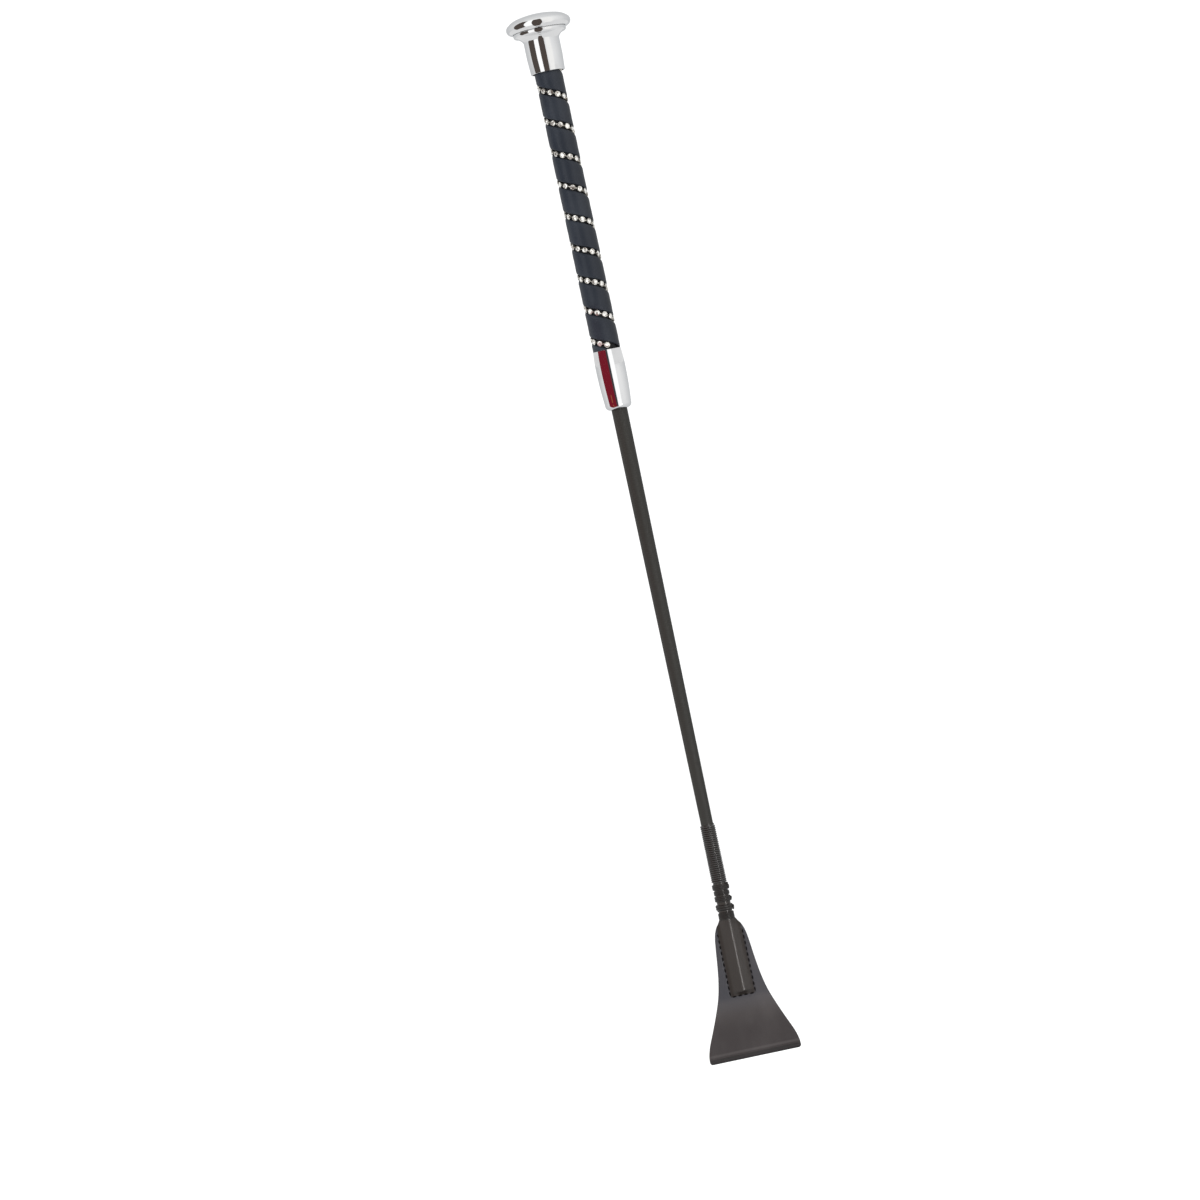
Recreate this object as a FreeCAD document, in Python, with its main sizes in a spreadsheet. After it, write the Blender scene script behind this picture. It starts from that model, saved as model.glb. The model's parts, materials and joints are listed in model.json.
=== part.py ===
"""Riding crop: a polished knob and collar, a leather grip wound with a stone chain, a ferrule,
a tapered covered rod and a folded leather popper stitched and bound round the rod's end.

The crop hangs along Z with its knob up. The origin is on its axis, halfway down the hand grip.
X runs across the popper's face and the front of the crop looks along -Y. All sizes are in mm.
"""
import FreeCAD
import Part

import math
import os
import re

import Sketcher

# Driving sizes. Each one can be changed by itself.
SIZES = {
    # knob: a domed shell pressed over a collar shell
    "head_height": 16.4, "head_radius": 19.75, "crown_drop": 1.6, "rim_width": 6.6,
    "shoulder_width": 1.3, "shoulder_depth": 4.3, "shoulder_round": 12, "edge_bulge": 1.72,
    "lip_width": 1.7, "lip_fold": 3.4, "dome_depth": 10.2, "dome_wall": 1.0,
    "flange_width": 2.8, "flange_wall": 1.1, "ring_inset": 3.6, "ring_foot": 4.1,
    "ring_depth": 12.9, "ring_round": 2.2, "cove_round": 6, "neck_wall": 2.45,
    "collar_length": 20, "collar_straight": 10, "collar_taper": 0.55, "collar_wall": 0.75,
    "collar_clearance": 1.2, "plug_top": 3.7, "plug_rise": 6,
    # hand grip
    "grip_length": 173, "grip_radius": 8.55, "leather_wrap": 1.85, "leather_tuck": 4,
    "padding_wall": 1.5, "core_seat": 6, "padding_tuck": 8, "rod_head_gap": 2,
    # stone chain, wound left-handed in the gap between the leather's turns
    "chain_lead": 19.56, "chain_drop": 13.5, "chain_clearance": 0.2,
    "cup_radius": 1.75, "cup_height": 1.45, "cup_floor": 0.5, "cup_wall": 0.2,
    "girdle_height": 0.06, "crown_height": 0.24, "crown_width": 0.65,
    "link_length": 0.9, "link_width": 1.2, "link_wall": 0.45,
    # ferrule
    "ferrule_length": 36.6, "ferrule_step": 0.1, "belly_swell": 0.49, "belly_depth": 11,
    "knee_fall": 1.04, "knee_rise": 3.4, "mouth_lip": 0.8, "mouth_bulge": 0.84,
    "ferrule_wall": 0.9, "ferrule_floor": 2,
    # rod and its cover
    "bare_shaft": 258.8, "rod_radius": 3.6, "rod_tip_radius": 2.3, "cover_wall": 1.28,
    "cover_end_wall": 1.06, "cover_tuck": 18, "flex_drop": 54, "flex_overlap": 0.95,
    "flex_gap": 0.3, "tip_cap_wall": 0.5, "tip_cap_length": 5, "tip_cap_floor": 1.2,
    # thread whipping and binding cord
    "whipping_length": 36.6, "whipping_wall": 1, "whipping_lead_in": 2, "whipping_step": 0.5,
    "binding_length": 23, "binding_edge": 0.25,
    # each binding's place below the whipping and its length, as shares of the bound length,
    # and its thickness
    "upper_ring_place": 0.009, "upper_ring_share": 0.187, "upper_ring_wall": 0.8,
    "thread_turns_place": 0.2, "thread_turns_share": 0.135, "thread_turns_wall": 0.5,
    "middle_ring_place": 0.339, "middle_ring_share": 0.183, "middle_ring_wall": 0.75,
    "lower_ring_place": 0.561, "lower_ring_share": 0.209, "lower_ring_wall": 1.1,
    "neck_turns_place": 0.774, "neck_turns_share": 0.222, "neck_turns_wall": 0.65,
    # popper
    "popper_length": 85, "popper_leather": 1.35, "shoulder_half": 5.4, "waist_half": 10,
    "waist_depth": 11, "waist_round": 21.3, "hinge_half": 16.6, "hinge_depth": 49,
    "flank_round": 185, "hinge_gap": 0.25, "flare_half": 26.8, "flare_rise": 10,
    "hem_half": 28.35, "hem_rise": 2, "hem_round": 18, "corner_round": 2.1,
    "blade_step": 0.6, "rod_depth": 44.5, "fold_gap": 0.1, "fold_depth": 3,
    # pocket stitches
    "stitch_offset": 7.75, "stitch_start": 8.5, "stitch_spacing": 3.6, "stitch_length": 2.7,
    "stitch_radius": 0.32, "seam_depth": 46.7,
    # fits
    "glue_gap": 0.05,
}

# Cords and thread turns bound over the popper's neck, each with the name of its sizes.
BINDINGS = {
    "binding_ring_upper": "upper_ring",
    "binding_turns": "thread_turns",
    "binding_ring_middle": "middle_ring",
    "binding_ring_lower": "lower_ring",
    "neck_whipping": "neck_turns",
}

# Levels along the crop, as expressions of the driving sizes.
RIM = "(grip_length / 2)"
KNOB_TOP = f"({RIM} + collar_length + head_height)"
FERRULE_TOP = "(-grip_length / 2)"
MOUTH = f"({FERRULE_TOP} - ferrule_length)"
FLEX = f"({MOUTH} - flex_drop)"
WHIP_TOP = f"({MOUTH} - bare_shaft)"
WHIP_END = f"({WHIP_TOP} - whipping_length)"
POPPER_TOP = f"({WHIP_END} - binding_length)"
ROD_END = f"({POPPER_TOP} - rod_depth)"
ROD_FOOT = f"({ROD_END} + tip_cap_floor + glue_gap)"
COVER_FOOT = f"({WHIP_END} + glue_gap)"

# Radii and gaps that several pieces share.
COLLAR_BORE = "(grip_radius + collar_clearance)"
RIM_RADIUS = f"({COLLAR_BORE} + collar_wall)"
COLLAR_RADIUS = f"({RIM_RADIUS} + collar_taper)"
RING_FOOT = "(head_radius - ring_foot)"
PLUG_NECK = f"({RING_FOOT} - neck_wall)"
PADDING_RADIUS = "(grip_radius - leather_wrap)"
CORE_RADIUS = f"({PADDING_RADIUS} - padding_wall)"
CHAIN_GAP = "(2 * (cup_radius + chain_clearance)" \
            f" * sqrt(1 + (chain_lead / (2 * pi * {PADDING_RADIUS}))^2))"
COVER_RADIUS = "(rod_radius + cover_wall)"
FERRULE_RADIUS = "(grip_radius + ferrule_step)"
FERRULE_BORE = f"({FERRULE_RADIUS} - ferrule_wall)"
TIP_CAP_RADIUS = "(rod_tip_radius + tip_cap_wall + glue_gap)"
POCKET_RADIUS = f"({TIP_CAP_RADIUS} + glue_gap)"
RIDGE_RADIUS = f"({POCKET_RADIUS} + popper_leather)"

# Which way an arc bulges, seen by someone who walks along the outline.
LEFT = 1
RIGHT = -1

doc = FreeCAD.newDocument("RidingCrop")
sheet = doc.addObject("Spreadsheet::Sheet", "Sizes")
parts = []


def fill_sheet():
    """One row for each driving size: its name, its plain number and its alias."""
    for row, (name, size) in enumerate(SIZES.items(), start=1):
        sheet.set(f"A{row}", name)
        sheet.set(f"B{row}", str(size))
        sheet.setAlias(f"B{row}", name)
    doc.recompute()


def bound(expression):
    """The expression with each size's name pointing at its cell."""
    def cell(match):
        return f"Sizes.{match.group()}" if match.group() in SIZES else match.group()
    return re.sub(r"[a-z_]+", cell, str(expression))


def value(expression):
    """What an expression of the driving sizes comes to."""
    return float(sheet.evalExpression(bound(expression)))


def tapered(start, finish, top, bottom, level):
    """Expression: the radius at a level of a straight taper between two levels."""
    return f"({start} + ({finish} - {start}) * ({top} - {level}) / ({top} - {bottom}))"


def rod_at(level):
    """Expression: the rod's radius at a level below the ferrule."""
    return tapered("rod_radius", "rod_tip_radius", MOUTH, ROD_FOOT, level)


def cover_at(level):
    """Expression: the cover's outer radius at a level below the ferrule."""
    end = f"({rod_at(COVER_FOOT)} + cover_end_wall)"
    return tapered(COVER_RADIUS, end, MOUTH, COVER_FOOT, level)


def cap_round(reach, drop):
    """Expression: the radius of an arc that starts square to the axis and drops over a reach."""
    return f"(({reach})^2 + ({drop})^2) / (2 * ({drop}))"


def bowed(across, up, bulge):
    """Expression: the radius of an arc that bulges this far from its chord."""
    return f"((({across})^2 + ({up})^2) / 4 + ({bulge})^2) / (2 * ({bulge}))"


# ---------------------------------------------------------------- sketches and bodies

def new_body(label, level="0"):
    """A body of its own, whose datum lies on the crop's axis at a level."""
    body = doc.addObject("PartDesign::Body", label)
    body.Label = label
    body.setExpression("Placement.Base.z", bound(level))
    parts.append(body)
    return body


def origin_plane(body, role):
    return next(item for item in body.Origin.OriginFeatures if item.Role == role)


def hold(sketch, geometry, end, across, up):
    """Ties a corner to the sketch's axes by two sizes."""
    if across == "0":
        sketch.addConstraint(Sketcher.Constraint("PointOnObject", geometry, end, -2))
    else:
        index = sketch.addConstraint(
            Sketcher.Constraint("DistanceX", -1, 1, geometry, end, value(across)))
        sketch.setExpression(f"Constraints[{index}]", bound(across))
    if up == "0":
        sketch.addConstraint(Sketcher.Constraint("PointOnObject", geometry, end, -1))
    else:
        index = sketch.addConstraint(
            Sketcher.Constraint("DistanceY", -1, 1, geometry, end, value(up)))
        sketch.setExpression(f"Constraints[{index}]", bound(up))


def arc_between(start, finish, radius, side):
    """The short arc from one corner to the next, which bulges to the given side."""
    chord = finish - start
    middle = (start + finish) * 0.5
    across = FreeCAD.Vector(-chord.y, chord.x, 0).normalize()
    centre = middle - across * (side * math.sqrt(radius ** 2 - (chord.Length / 2) ** 2))
    circle = Part.Circle(centre, FreeCAD.Vector(0, 0, 1), radius)
    first, last = (finish, start) if side == LEFT else (start, finish)
    return Part.ArcOfCircle(circle, circle.parameter(first), circle.parameter(last))


def draw(body, label, corners, plane="XZ_Plane"):
    """A closed outline on one of the body's origin planes.

    Each corner is (across, up), or (across, up, radius, side) where an arc leads to it.
    """
    sketch = body.newObject("Sketcher::SketchObject", label)
    sketch.AttachmentSupport = (origin_plane(body, plane), [""])
    sketch.MapMode = "FlatFace"
    points = [FreeCAD.Vector(value(corner[0]), value(corner[1]), 0) for corner in corners]
    ends = []
    for index, corner in enumerate(corners):
        start, finish = points[index - 1], points[index]
        if len(corner) == 2:
            geometry = sketch.addGeometry(Part.LineSegment(start, finish))
            ends.append((geometry, 1, 2))
            continue
        radius, side = corner[2:]
        geometry = sketch.addGeometry(arc_between(start, finish, value(radius), side))
        ends.append((geometry, 2, 1) if side == LEFT else (geometry, 1, 2))
        size = sketch.addConstraint(Sketcher.Constraint("Radius", geometry, value(radius)))
        sketch.setExpression(f"Constraints[{size}]", bound(radius))
    for index, (geometry, _, finish) in enumerate(ends):
        after, start, _ = ends[(index + 1) % len(ends)]
        sketch.addConstraint(Sketcher.Constraint("Coincident", geometry, finish, after, start))
        hold(sketch, geometry, finish, corners[index][0], corners[index][1])
    return sketch


def turn(body, corners, feature="Revolution", angle=360, backwards=False):
    """Turns an outline about the crop's axis, to add to the body or, as a Groove, to cut it."""
    name = f"{body.Label}_{feature.lower()}"
    sketch = draw(body, f"{name}_outline", corners)
    turned = body.newObject(f"PartDesign::{feature}", name)
    turned.Profile = sketch
    turned.ReferenceAxis = (sketch, ["V_Axis"])
    turned.Angle = angle
    turned.Reversed = backwards
    doc.recompute()
    return turned


def turned_part(label, level, corners):
    """A sub-part that is one turned outline."""
    body = new_body(label, level)
    turn(body, corners)
    return body


def round_edges(body, radius, wanted):
    """Rounds the edges of the body's last feature that wanted() picks by their box."""
    base = body.Tip
    names = [f"Edge{number}" for number, edge in enumerate(base.Shape.Edges, start=1)
             if wanted(edge.BoundBox)]
    fillet = body.newObject("PartDesign::Fillet", f"{body.Label}_round")
    fillet.Base = (base, names)
    fillet.setExpression("Radius", bound(radius))
    doc.recompute()


def made_part(label, solids):
    """A sub-part made of repeated loose solids."""
    feature = doc.addObject("Part::Feature", label)
    feature.Label = label
    feature.Shape = Part.makeCompound(solids)
    parts.append(feature)


# ---------------------------------------------------------------- knob

def make_knob():
    """The domed shell, the collar shell that it is pressed over, and the plug that fills both."""
    edge = "(head_radius - shoulder_width)"
    lip = "(head_radius - lip_width)"
    crown = "(head_radius - rim_width)"
    side = "(lip_width - shoulder_width)"
    slant = "dome_wall / sqrt(2)"
    turned_part("knob_dome", KNOB_TOP, [
        ("0", "0"),
        (crown, "-crown_drop", cap_round(crown, "crown_drop"), LEFT),
        (edge, "-shoulder_depth", "shoulder_round", LEFT),
        (lip, "-dome_depth", bowed(side, "dome_depth - shoulder_depth", "edge_bulge"), LEFT),
        ("head_radius - lip_fold", "-dome_depth"),
        ("head_radius - lip_fold", "-dome_depth + dome_wall"),
        (f"{lip} - {slant}", "-dome_depth + dome_wall"),
        (f"{edge} - {slant}", f"-shoulder_depth - {slant}",
         bowed(side, f"dome_depth - shoulder_depth - dome_wall - {slant}",
               "edge_bulge - dome_wall / 3"), RIGHT),
        (crown, "-crown_drop - dome_wall", "shoulder_round - dome_wall", RIGHT),
        ("0", "-dome_wall", cap_round(crown, "crown_drop"), RIGHT),
    ])

    flange_foot = "(-dome_depth + dome_wall + glue_gap)"
    neck = "(head_radius - ring_inset)"
    cone_foot = "(-head_height - collar_wall)"
    collar_foot = "(-head_height - collar_length)"
    turned_part("knob_collar", KNOB_TOP, [
        (PLUG_NECK, f"{flange_foot} + flange_wall"),
        ("head_radius - flange_width", f"{flange_foot} + flange_wall"),
        ("head_radius - flange_width", flange_foot),
        (neck, flange_foot),
        (neck, "-dome_depth - glue_gap"),
        (RING_FOOT, "-ring_depth", "ring_round", LEFT),
        (COLLAR_RADIUS, "-head_height", "cove_round", RIGHT),
        (COLLAR_RADIUS, "-head_height - collar_straight"),
        (RIM_RADIUS, collar_foot),
        (COLLAR_BORE, collar_foot),
        (COLLAR_BORE, cone_foot),
        (PLUG_NECK, "-ring_depth"),
    ])

    plug_foot = f"({collar_foot} + plug_rise)"
    hole = f"({CORE_RADIUS} + glue_gap)"
    turned_part("cap_plug", KNOB_TOP, [
        ("0", "-plug_top"),
        (f"{PLUG_NECK} - glue_gap", "-plug_top"),
        (f"{PLUG_NECK} - glue_gap", "-ring_depth"),
        (f"{COLLAR_BORE} - glue_gap", cone_foot),
        (f"{COLLAR_BORE} - glue_gap", plug_foot),
        (hole, plug_foot),
        (hole, "-plug_top - core_seat"),
        ("0", "-plug_top - core_seat"),
    ])


# ---------------------------------------------------------------- hand grip

def make_grip():
    """The core tube, its padding and the leather strip wound round it."""
    core_top = f"({KNOB_TOP} - plug_top - core_seat - glue_gap)"
    core_foot = f"({MOUTH} + cover_tuck + glue_gap)"
    bore = "(rod_radius + glue_gap)"
    turned_part("handle_core", "0", [
        (bore, core_top), (CORE_RADIUS, core_top), (CORE_RADIUS, core_foot), (bore, core_foot)])

    inside = f"({CORE_RADIUS} + glue_gap)"
    padding_top = f"({RIM} + plug_rise - glue_gap)"
    padding_foot = f"({FERRULE_TOP} - padding_tuck)"
    turned_part("grip_padding", "0", [
        (inside, padding_top), (f"{PADDING_RADIUS} - glue_gap", padding_top),
        (f"{PADDING_RADIUS} - glue_gap", padding_foot), (inside, padding_foot)])
    make_leather()


def make_leather():
    """One strip wound left-handed round the padding, with the chain's gap between its turns."""
    foot = f"({FERRULE_TOP} - chain_lead)"
    helix = doc.addObject("Part::Helix", "strip_helix")
    helix.LocalCoord = "Left-handed"
    helix.setExpression("Pitch", bound("chain_lead"))
    helix.setExpression("Height", bound("grip_length + leather_tuck + 2 * chain_lead"))
    helix.setExpression("Radius", bound("grip_radius"))

    section = doc.addObject("Sketcher::SketchObject", "strip_section")
    section.Placement = FreeCAD.Placement(
        FreeCAD.Vector(), FreeCAD.Rotation(FreeCAD.Vector(1, 0, 0), 90))
    near, far, half = PADDING_RADIUS, "grip_radius", f"(chain_lead - {CHAIN_GAP}) / 2"
    corners = [(near, f"-{half}"), (far, f"-{half}"), (far, half), (near, half)]
    points = [FreeCAD.Vector(value(x), value(z), 0) for x, z in corners]
    for index, corner in enumerate(corners):
        section.addGeometry(Part.LineSegment(points[index - 1], points[index]))
        hold(section, index, 2, *corner)
    for index in range(len(corners)):
        after = (index + 1) % len(corners)
        section.addConstraint(Sketcher.Constraint("Coincident", index, 2, after, 1))

    winding = doc.addObject("Part::Sweep", "strip_winding")
    winding.Sections = [section]
    winding.Spine = (helix, ["Edge1"])
    winding.Solid = True
    winding.Frenet = True
    half_turn_on = f"90 + 360 * ({RIM} - chain_drop - {foot}) / chain_lead"
    winding.Placement = FreeCAD.Placement(
        FreeCAD.Vector(), FreeCAD.Rotation(FreeCAD.Vector(0, 0, 1), 1))
    winding.setExpression("Placement.Rotation.Angle", bound(half_turn_on))
    winding.setExpression("Placement.Base.z", bound(foot))

    grip_space = doc.addObject("Part::Box", "grip_space")
    for side in ("Length", "Width"):
        grip_space.setExpression(side, bound("4 * grip_radius"))
    for axis in ("x", "y"):
        grip_space.setExpression(f"Placement.Base.{axis}", bound("-2 * grip_radius"))
    grip_space.setExpression("Height", bound("grip_length + leather_tuck"))
    grip_space.setExpression("Placement.Base.z", bound(FERRULE_TOP))
    strip = doc.addObject("Part::Common", "grip_leather")
    strip.Label = "grip_leather"
    strip.Base, strip.Tool = winding, grip_space
    parts.append(strip)


# ---------------------------------------------------------------- stone chain

def turned_about_x(corners):
    """A solid turned about the X axis from corners (along, radius)."""
    points = [FreeCAD.Vector(along, radius, 0) for along, radius in corners]
    face = Part.Face(Part.makePolygon(points + points[:1]))
    return face.revolve(FreeCAD.Vector(), FreeCAD.Vector(1, 0, 0), 360)


def make_chain():
    """Cups, stones and links, one after another down the helix between collar and ferrule."""
    seat = value(f"{PADDING_RADIUS} + glue_gap")
    lead = value("chain_lead")
    cup_radius, cup_height = value("cup_radius"), value("cup_height")
    floor, gap = value("cup_floor"), value("glue_gap")
    link_wall, link_width = value("link_wall"), value("link_width")

    rim = cup_radius - value("cup_wall")
    stone_radius = rim - gap
    culet = stone_radius / 5
    cup = turned_about_x([(0, 0), (0, cup_radius), (cup_height, cup_radius),
                          (cup_height, rim), (floor, culet + gap), (floor, 0)])
    girdle = cup_height + value("girdle_height")
    table = girdle + value("crown_height")
    table_radius = stone_radius - value("crown_width")
    stone = turned_about_x([(floor + gap, 0), (floor + gap, culet),
                            (cup_height, stone_radius), (girdle, stone_radius),
                            (table, table_radius), (table, 0)])
    for template in (cup, stone):
        template.translate(FreeCAD.Vector(seat, 0, 0))

    spacing = value("2 * cup_radius + link_length")
    along = spacing / math.hypot(seat + cup_height / 2, lead / (2 * math.pi))
    drop = lead * along / (2 * math.pi)
    degrees = math.degrees(along)
    step = FreeCAD.Placement(FreeCAD.Vector(0, 0, -drop),
                             FreeCAD.Rotation(FreeCAD.Vector(0, 0, 1), degrees))
    here = FreeCAD.Vector(seat + link_wall, 0, 0)
    there = step.multVec(here)
    radial = (here + there).normalize()
    run = there - here
    link = Part.makeBox(run.Length, link_width, link_wall)
    link.translate(FreeCAD.Vector(0, -link_width / 2, -link_wall / 2))
    turned = FreeCAD.Rotation(run, radial.cross(run), radial, "XZY")
    link.Placement = FreeCAD.Placement(here, turned).multiply(link.Placement)
    blank = Part.makeCylinder(cup_radius + gap, 2 * cup_height, FreeCAD.Vector(seat - gap, 0, 0),
                              FreeCAD.Vector(1, 0, 0))
    next_blank = blank.copy()
    next_blank.Placement = step.multiply(blank.Placement)
    link = link.cut(blank).cut(next_blank).Solids[0]

    top = value(f"{RIM} + leather_tuck") - cup_radius
    bottom = value(FERRULE_TOP) + cup_radius + gap
    count = int((top - bottom) / drop) + 1
    crossing = value(f"{RIM} - chain_drop")
    cups, stones, links = [], [], []
    for number in range(count):
        height = top - number * drop
        place = FreeCAD.Placement(
            FreeCAD.Vector(0, 0, height),
            FreeCAD.Rotation(FreeCAD.Vector(0, 0, 1), -90 + 360 * (crossing - height) / lead))
        for template, copies in ((cup, cups), (stone, stones), (link, links)):
            if template is link and number == count - 1:
                continue
            copy = template.copy()
            copy.Placement = place.multiply(template.Placement)
            copies.append(copy)
    made_part("chain_cups", cups)
    made_part("chain_stones", stones)
    made_part("chain_links", links)


# ---------------------------------------------------------------- ferrule

def make_ferrule():
    """The bulged metal ferrule and the bush inside it that centres the shaft."""
    mouth_bore = f"({COVER_RADIUS} + glue_gap)"
    core_bore = f"({CORE_RADIUS} + glue_gap)"
    belly = f"({FERRULE_RADIUS} + belly_swell)"
    mouth = f"({COVER_RADIUS} + mouth_lip)"
    knee_depth = "(ferrule_length - knee_rise)"
    floor = "(-ferrule_length + ferrule_floor)"
    turned_part("grip_ferrule", FERRULE_TOP, [
        (FERRULE_BORE, "0"),
        (FERRULE_RADIUS, "0"),
        (belly, "-belly_depth", cap_round("belly_depth", "belly_swell"), LEFT),
        (f"{belly} - knee_fall", f"-{knee_depth}",
         cap_round(f"({knee_depth} - belly_depth)", "knee_fall"), LEFT),
        (mouth, "-ferrule_length",
         bowed(f"{belly} - knee_fall - {mouth}", "knee_rise", "mouth_bulge"), LEFT),
        (mouth_bore, "-ferrule_length"),
        (mouth_bore, floor),
        (f"{FERRULE_BORE} - ferrule_wall", floor),
        (FERRULE_BORE, f"-{knee_depth} + ferrule_floor"),
    ])

    bush_radius = f"({FERRULE_BORE} - glue_gap)"
    bush_top = "(-padding_tuck - glue_gap)"
    step = "(-ferrule_length + cover_tuck)"
    turned_part("ferrule_bush", FERRULE_TOP, [
        (core_bore, bush_top),
        (bush_radius, bush_top),
        (bush_radius, f"-{knee_depth} + ferrule_floor"),
        (f"{bush_radius} - ferrule_wall", f"{floor} + glue_gap"),
        (mouth_bore, f"{floor} + glue_gap"),
        (mouth_bore, step),
        (core_bore, step),
    ])


# ---------------------------------------------------------------- shaft

def make_shaft():
    """The rod and its cover, parted at the flex pivot by two concentric balls."""
    rod_at_flex = rod_at(FLEX)
    cover_at_flex = cover_at(FLEX)
    bore_at_flex = f"({rod_at_flex} + glue_gap)"
    ball = f"({cover_at_flex} + flex_overlap)"
    socket = f"({ball} + flex_gap)"

    def height_on(sphere, radius):
        return f"sqrt({sphere}^2 - {radius}^2)"

    rod_top = f"({KNOB_TOP} - plug_top - core_seat - rod_head_gap)"
    turned_part("rod_upper", FLEX, [
        ("0", f"{rod_top} - {FLEX}"),
        ("rod_radius", f"{rod_top} - {FLEX}"),
        ("rod_radius", "flex_drop"),
        (rod_at_flex, height_on(socket, rod_at_flex)),
        ("0", socket, socket, RIGHT),
    ])
    turned_part("shaft_cover_upper", FLEX, [
        ("rod_radius + glue_gap", "flex_drop + cover_tuck"),
        (COVER_RADIUS, "flex_drop + cover_tuck"),
        (COVER_RADIUS, "flex_drop"),
        (cover_at_flex, height_on(socket, cover_at_flex)),
        (bore_at_flex, height_on(socket, bore_at_flex), socket, RIGHT),
        ("rod_radius + glue_gap", "flex_drop"),
    ])
    turned_part("rod_lower", FLEX, [
        ("0", ball),
        (rod_at_flex, height_on(ball, rod_at_flex), ball, LEFT),
        ("rod_tip_radius", f"{ROD_FOOT} - {FLEX}"),
        ("0", f"{ROD_FOOT} - {FLEX}"),
    ])
    turned_part("shaft_cover_lower", FLEX, [
        (bore_at_flex, height_on(ball, bore_at_flex)),
        (cover_at_flex, height_on(ball, cover_at_flex), ball, LEFT),
        (cover_at(COVER_FOOT), f"{COVER_FOOT} - {FLEX}"),
        (f"{rod_at(COVER_FOOT)} + glue_gap", f"{COVER_FOOT} - {FLEX}"),
    ])

    cap_mouth = f"({ROD_END} + tip_cap_length)"
    turned_part("rod_tip_cap", ROD_END, [
        (f"{rod_at(cap_mouth)} + glue_gap", "tip_cap_length"),
        (TIP_CAP_RADIUS, "tip_cap_length"),
        (TIP_CAP_RADIUS, "tip_cap_floor"),
        ("0", "0", cap_round(TIP_CAP_RADIUS, "tip_cap_floor"), LEFT),
        ("0", "tip_cap_floor"),
        ("rod_tip_radius + glue_gap", "tip_cap_floor"),
    ])


def make_bindings():
    """The thread whipping over the cover's end and the cords over the popper's neck."""
    seat = f"({cover_at(WHIP_TOP)} + glue_gap)"
    outside = f"({cover_at(WHIP_TOP)} + whipping_wall)"
    turned_part("whipping_thread", WHIP_TOP, [
        (seat, "0"),
        (f"{outside} - whipping_step", "0"),
        (outside, "-whipping_lead_in"),
        (outside, "-whipping_length"),
        (seat, "-whipping_length"),
    ])
    inside = f"({RIDGE_RADIUS} + glue_gap)"
    for label, band in BINDINGS.items():
        length = f"({band}_share * binding_length)"
        edge = f"({inside} + binding_edge)"
        turned_part(label, f"({WHIP_END} - {band}_place * binding_length)", [
            (inside, "0"),
            (edge, "0"),
            (edge, f"-{length}",
             cap_round(f"({length} / 2)", f"({band}_wall - binding_edge)"), LEFT),
            (inside, f"-{length}"),
        ])


# ---------------------------------------------------------------- popper

def both_sides(right_side):
    """The corners down the right side of a symmetric outline, then up its left side.

    An arc's size belongs to the corner it leads to, so on the way back it moves one corner on.
    """
    corners = list(right_side)
    for index in range(len(right_side) - 1, -1, -1):
        across, up = right_side[index][:2]
        arc = right_side[index + 1][2:] if index + 1 < len(right_side) else ()
        corners.append((f"-({across})", up, *arc))
    return corners


def make_pocket_layer(label, behind):
    """One leather layer of the pocket: its plate, the ridge over the rod and the rod's hollow."""
    body = new_body(label, POPPER_TOP)
    nose = "(-hinge_depth - popper_leather)"
    plate = body.newObject("PartDesign::Pad", f"{label}_plate")
    plate.Profile = draw(body, f"{label}_plate_outline", both_sides([
        ("shoulder_half", "0"),
        ("waist_half", "-waist_depth", "waist_round", LEFT),
        ("hinge_half", nose, "flank_round", RIGHT),
    ]))
    plate.setExpression("Length", bound("popper_leather"))
    plate.Reversed = behind
    doc.recompute()
    low = value(nose)
    outer = value("popper_leather") * (1 if behind else -1)
    round_edges(body, "popper_leather - glue_gap", lambda box: (
        abs(box.ZMax - low) < 1e-3 and abs(box.YMin - outer) < 1e-3 and abs(box.YMax - outer) < 1e-3))

    neck_top = "(binding_length - glue_gap)"
    turn(body, [
        ("0", neck_top),
        (RIDGE_RADIUS, neck_top),
        (RIDGE_RADIUS, "-rod_depth + popper_leather"),
        ("0", "-rod_depth - popper_leather",
         cap_round(RIDGE_RADIUS, "(2 * popper_leather)"), LEFT),
    ], angle=180, backwards=not behind)
    turn(body, [
        ("0", neck_top),
        (POCKET_RADIUS, neck_top),
        (POCKET_RADIUS, "-rod_depth + tip_cap_floor - glue_gap"),
        ("0", "-rod_depth - glue_gap",
         cap_round(POCKET_RADIUS, "tip_cap_floor"), LEFT),
    ], feature="Groove")


def make_blade():
    """The free flap: the strip folded double round its lower edge."""
    body = new_body("popper_blade", POPPER_TOP)
    top = "(-hinge_depth - popper_leather - hinge_gap)"
    plate = body.newObject("PartDesign::Pad", "popper_blade_plate")
    plate.Profile = draw(body, "popper_blade_outline", both_sides([
        ("hinge_half + blade_step", top),
        ("flare_half", "-popper_length + flare_rise"),
        ("hem_half", "-popper_length + hem_rise", "hem_round", LEFT),
        ("hem_half - corner_round", "-popper_length", "corner_round", LEFT),
    ]))
    plate.setExpression("Length", bound("2 * popper_leather + fold_gap"))
    plate.Midplane = True
    doc.recompute()
    low = value("-popper_length")
    round_edges(body, "popper_leather", lambda box: box.ZMax < low + 1e-3 and box.YLength < 1e-3)

    slit = body.newObject("PartDesign::Pocket", "popper_blade_slit")
    half, foot, past = "fold_gap / 2", "-popper_length + fold_depth", f"{top} + popper_leather"
    slit.Profile = draw(body, "popper_blade_slit_outline", [
        (f"-{half}", foot), (half, foot), (half, past), (f"-{half}", past),
    ], plane="YZ_Plane")
    slit.Type = "ThroughAll"
    slit.Midplane = True
    doc.recompute()


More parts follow.
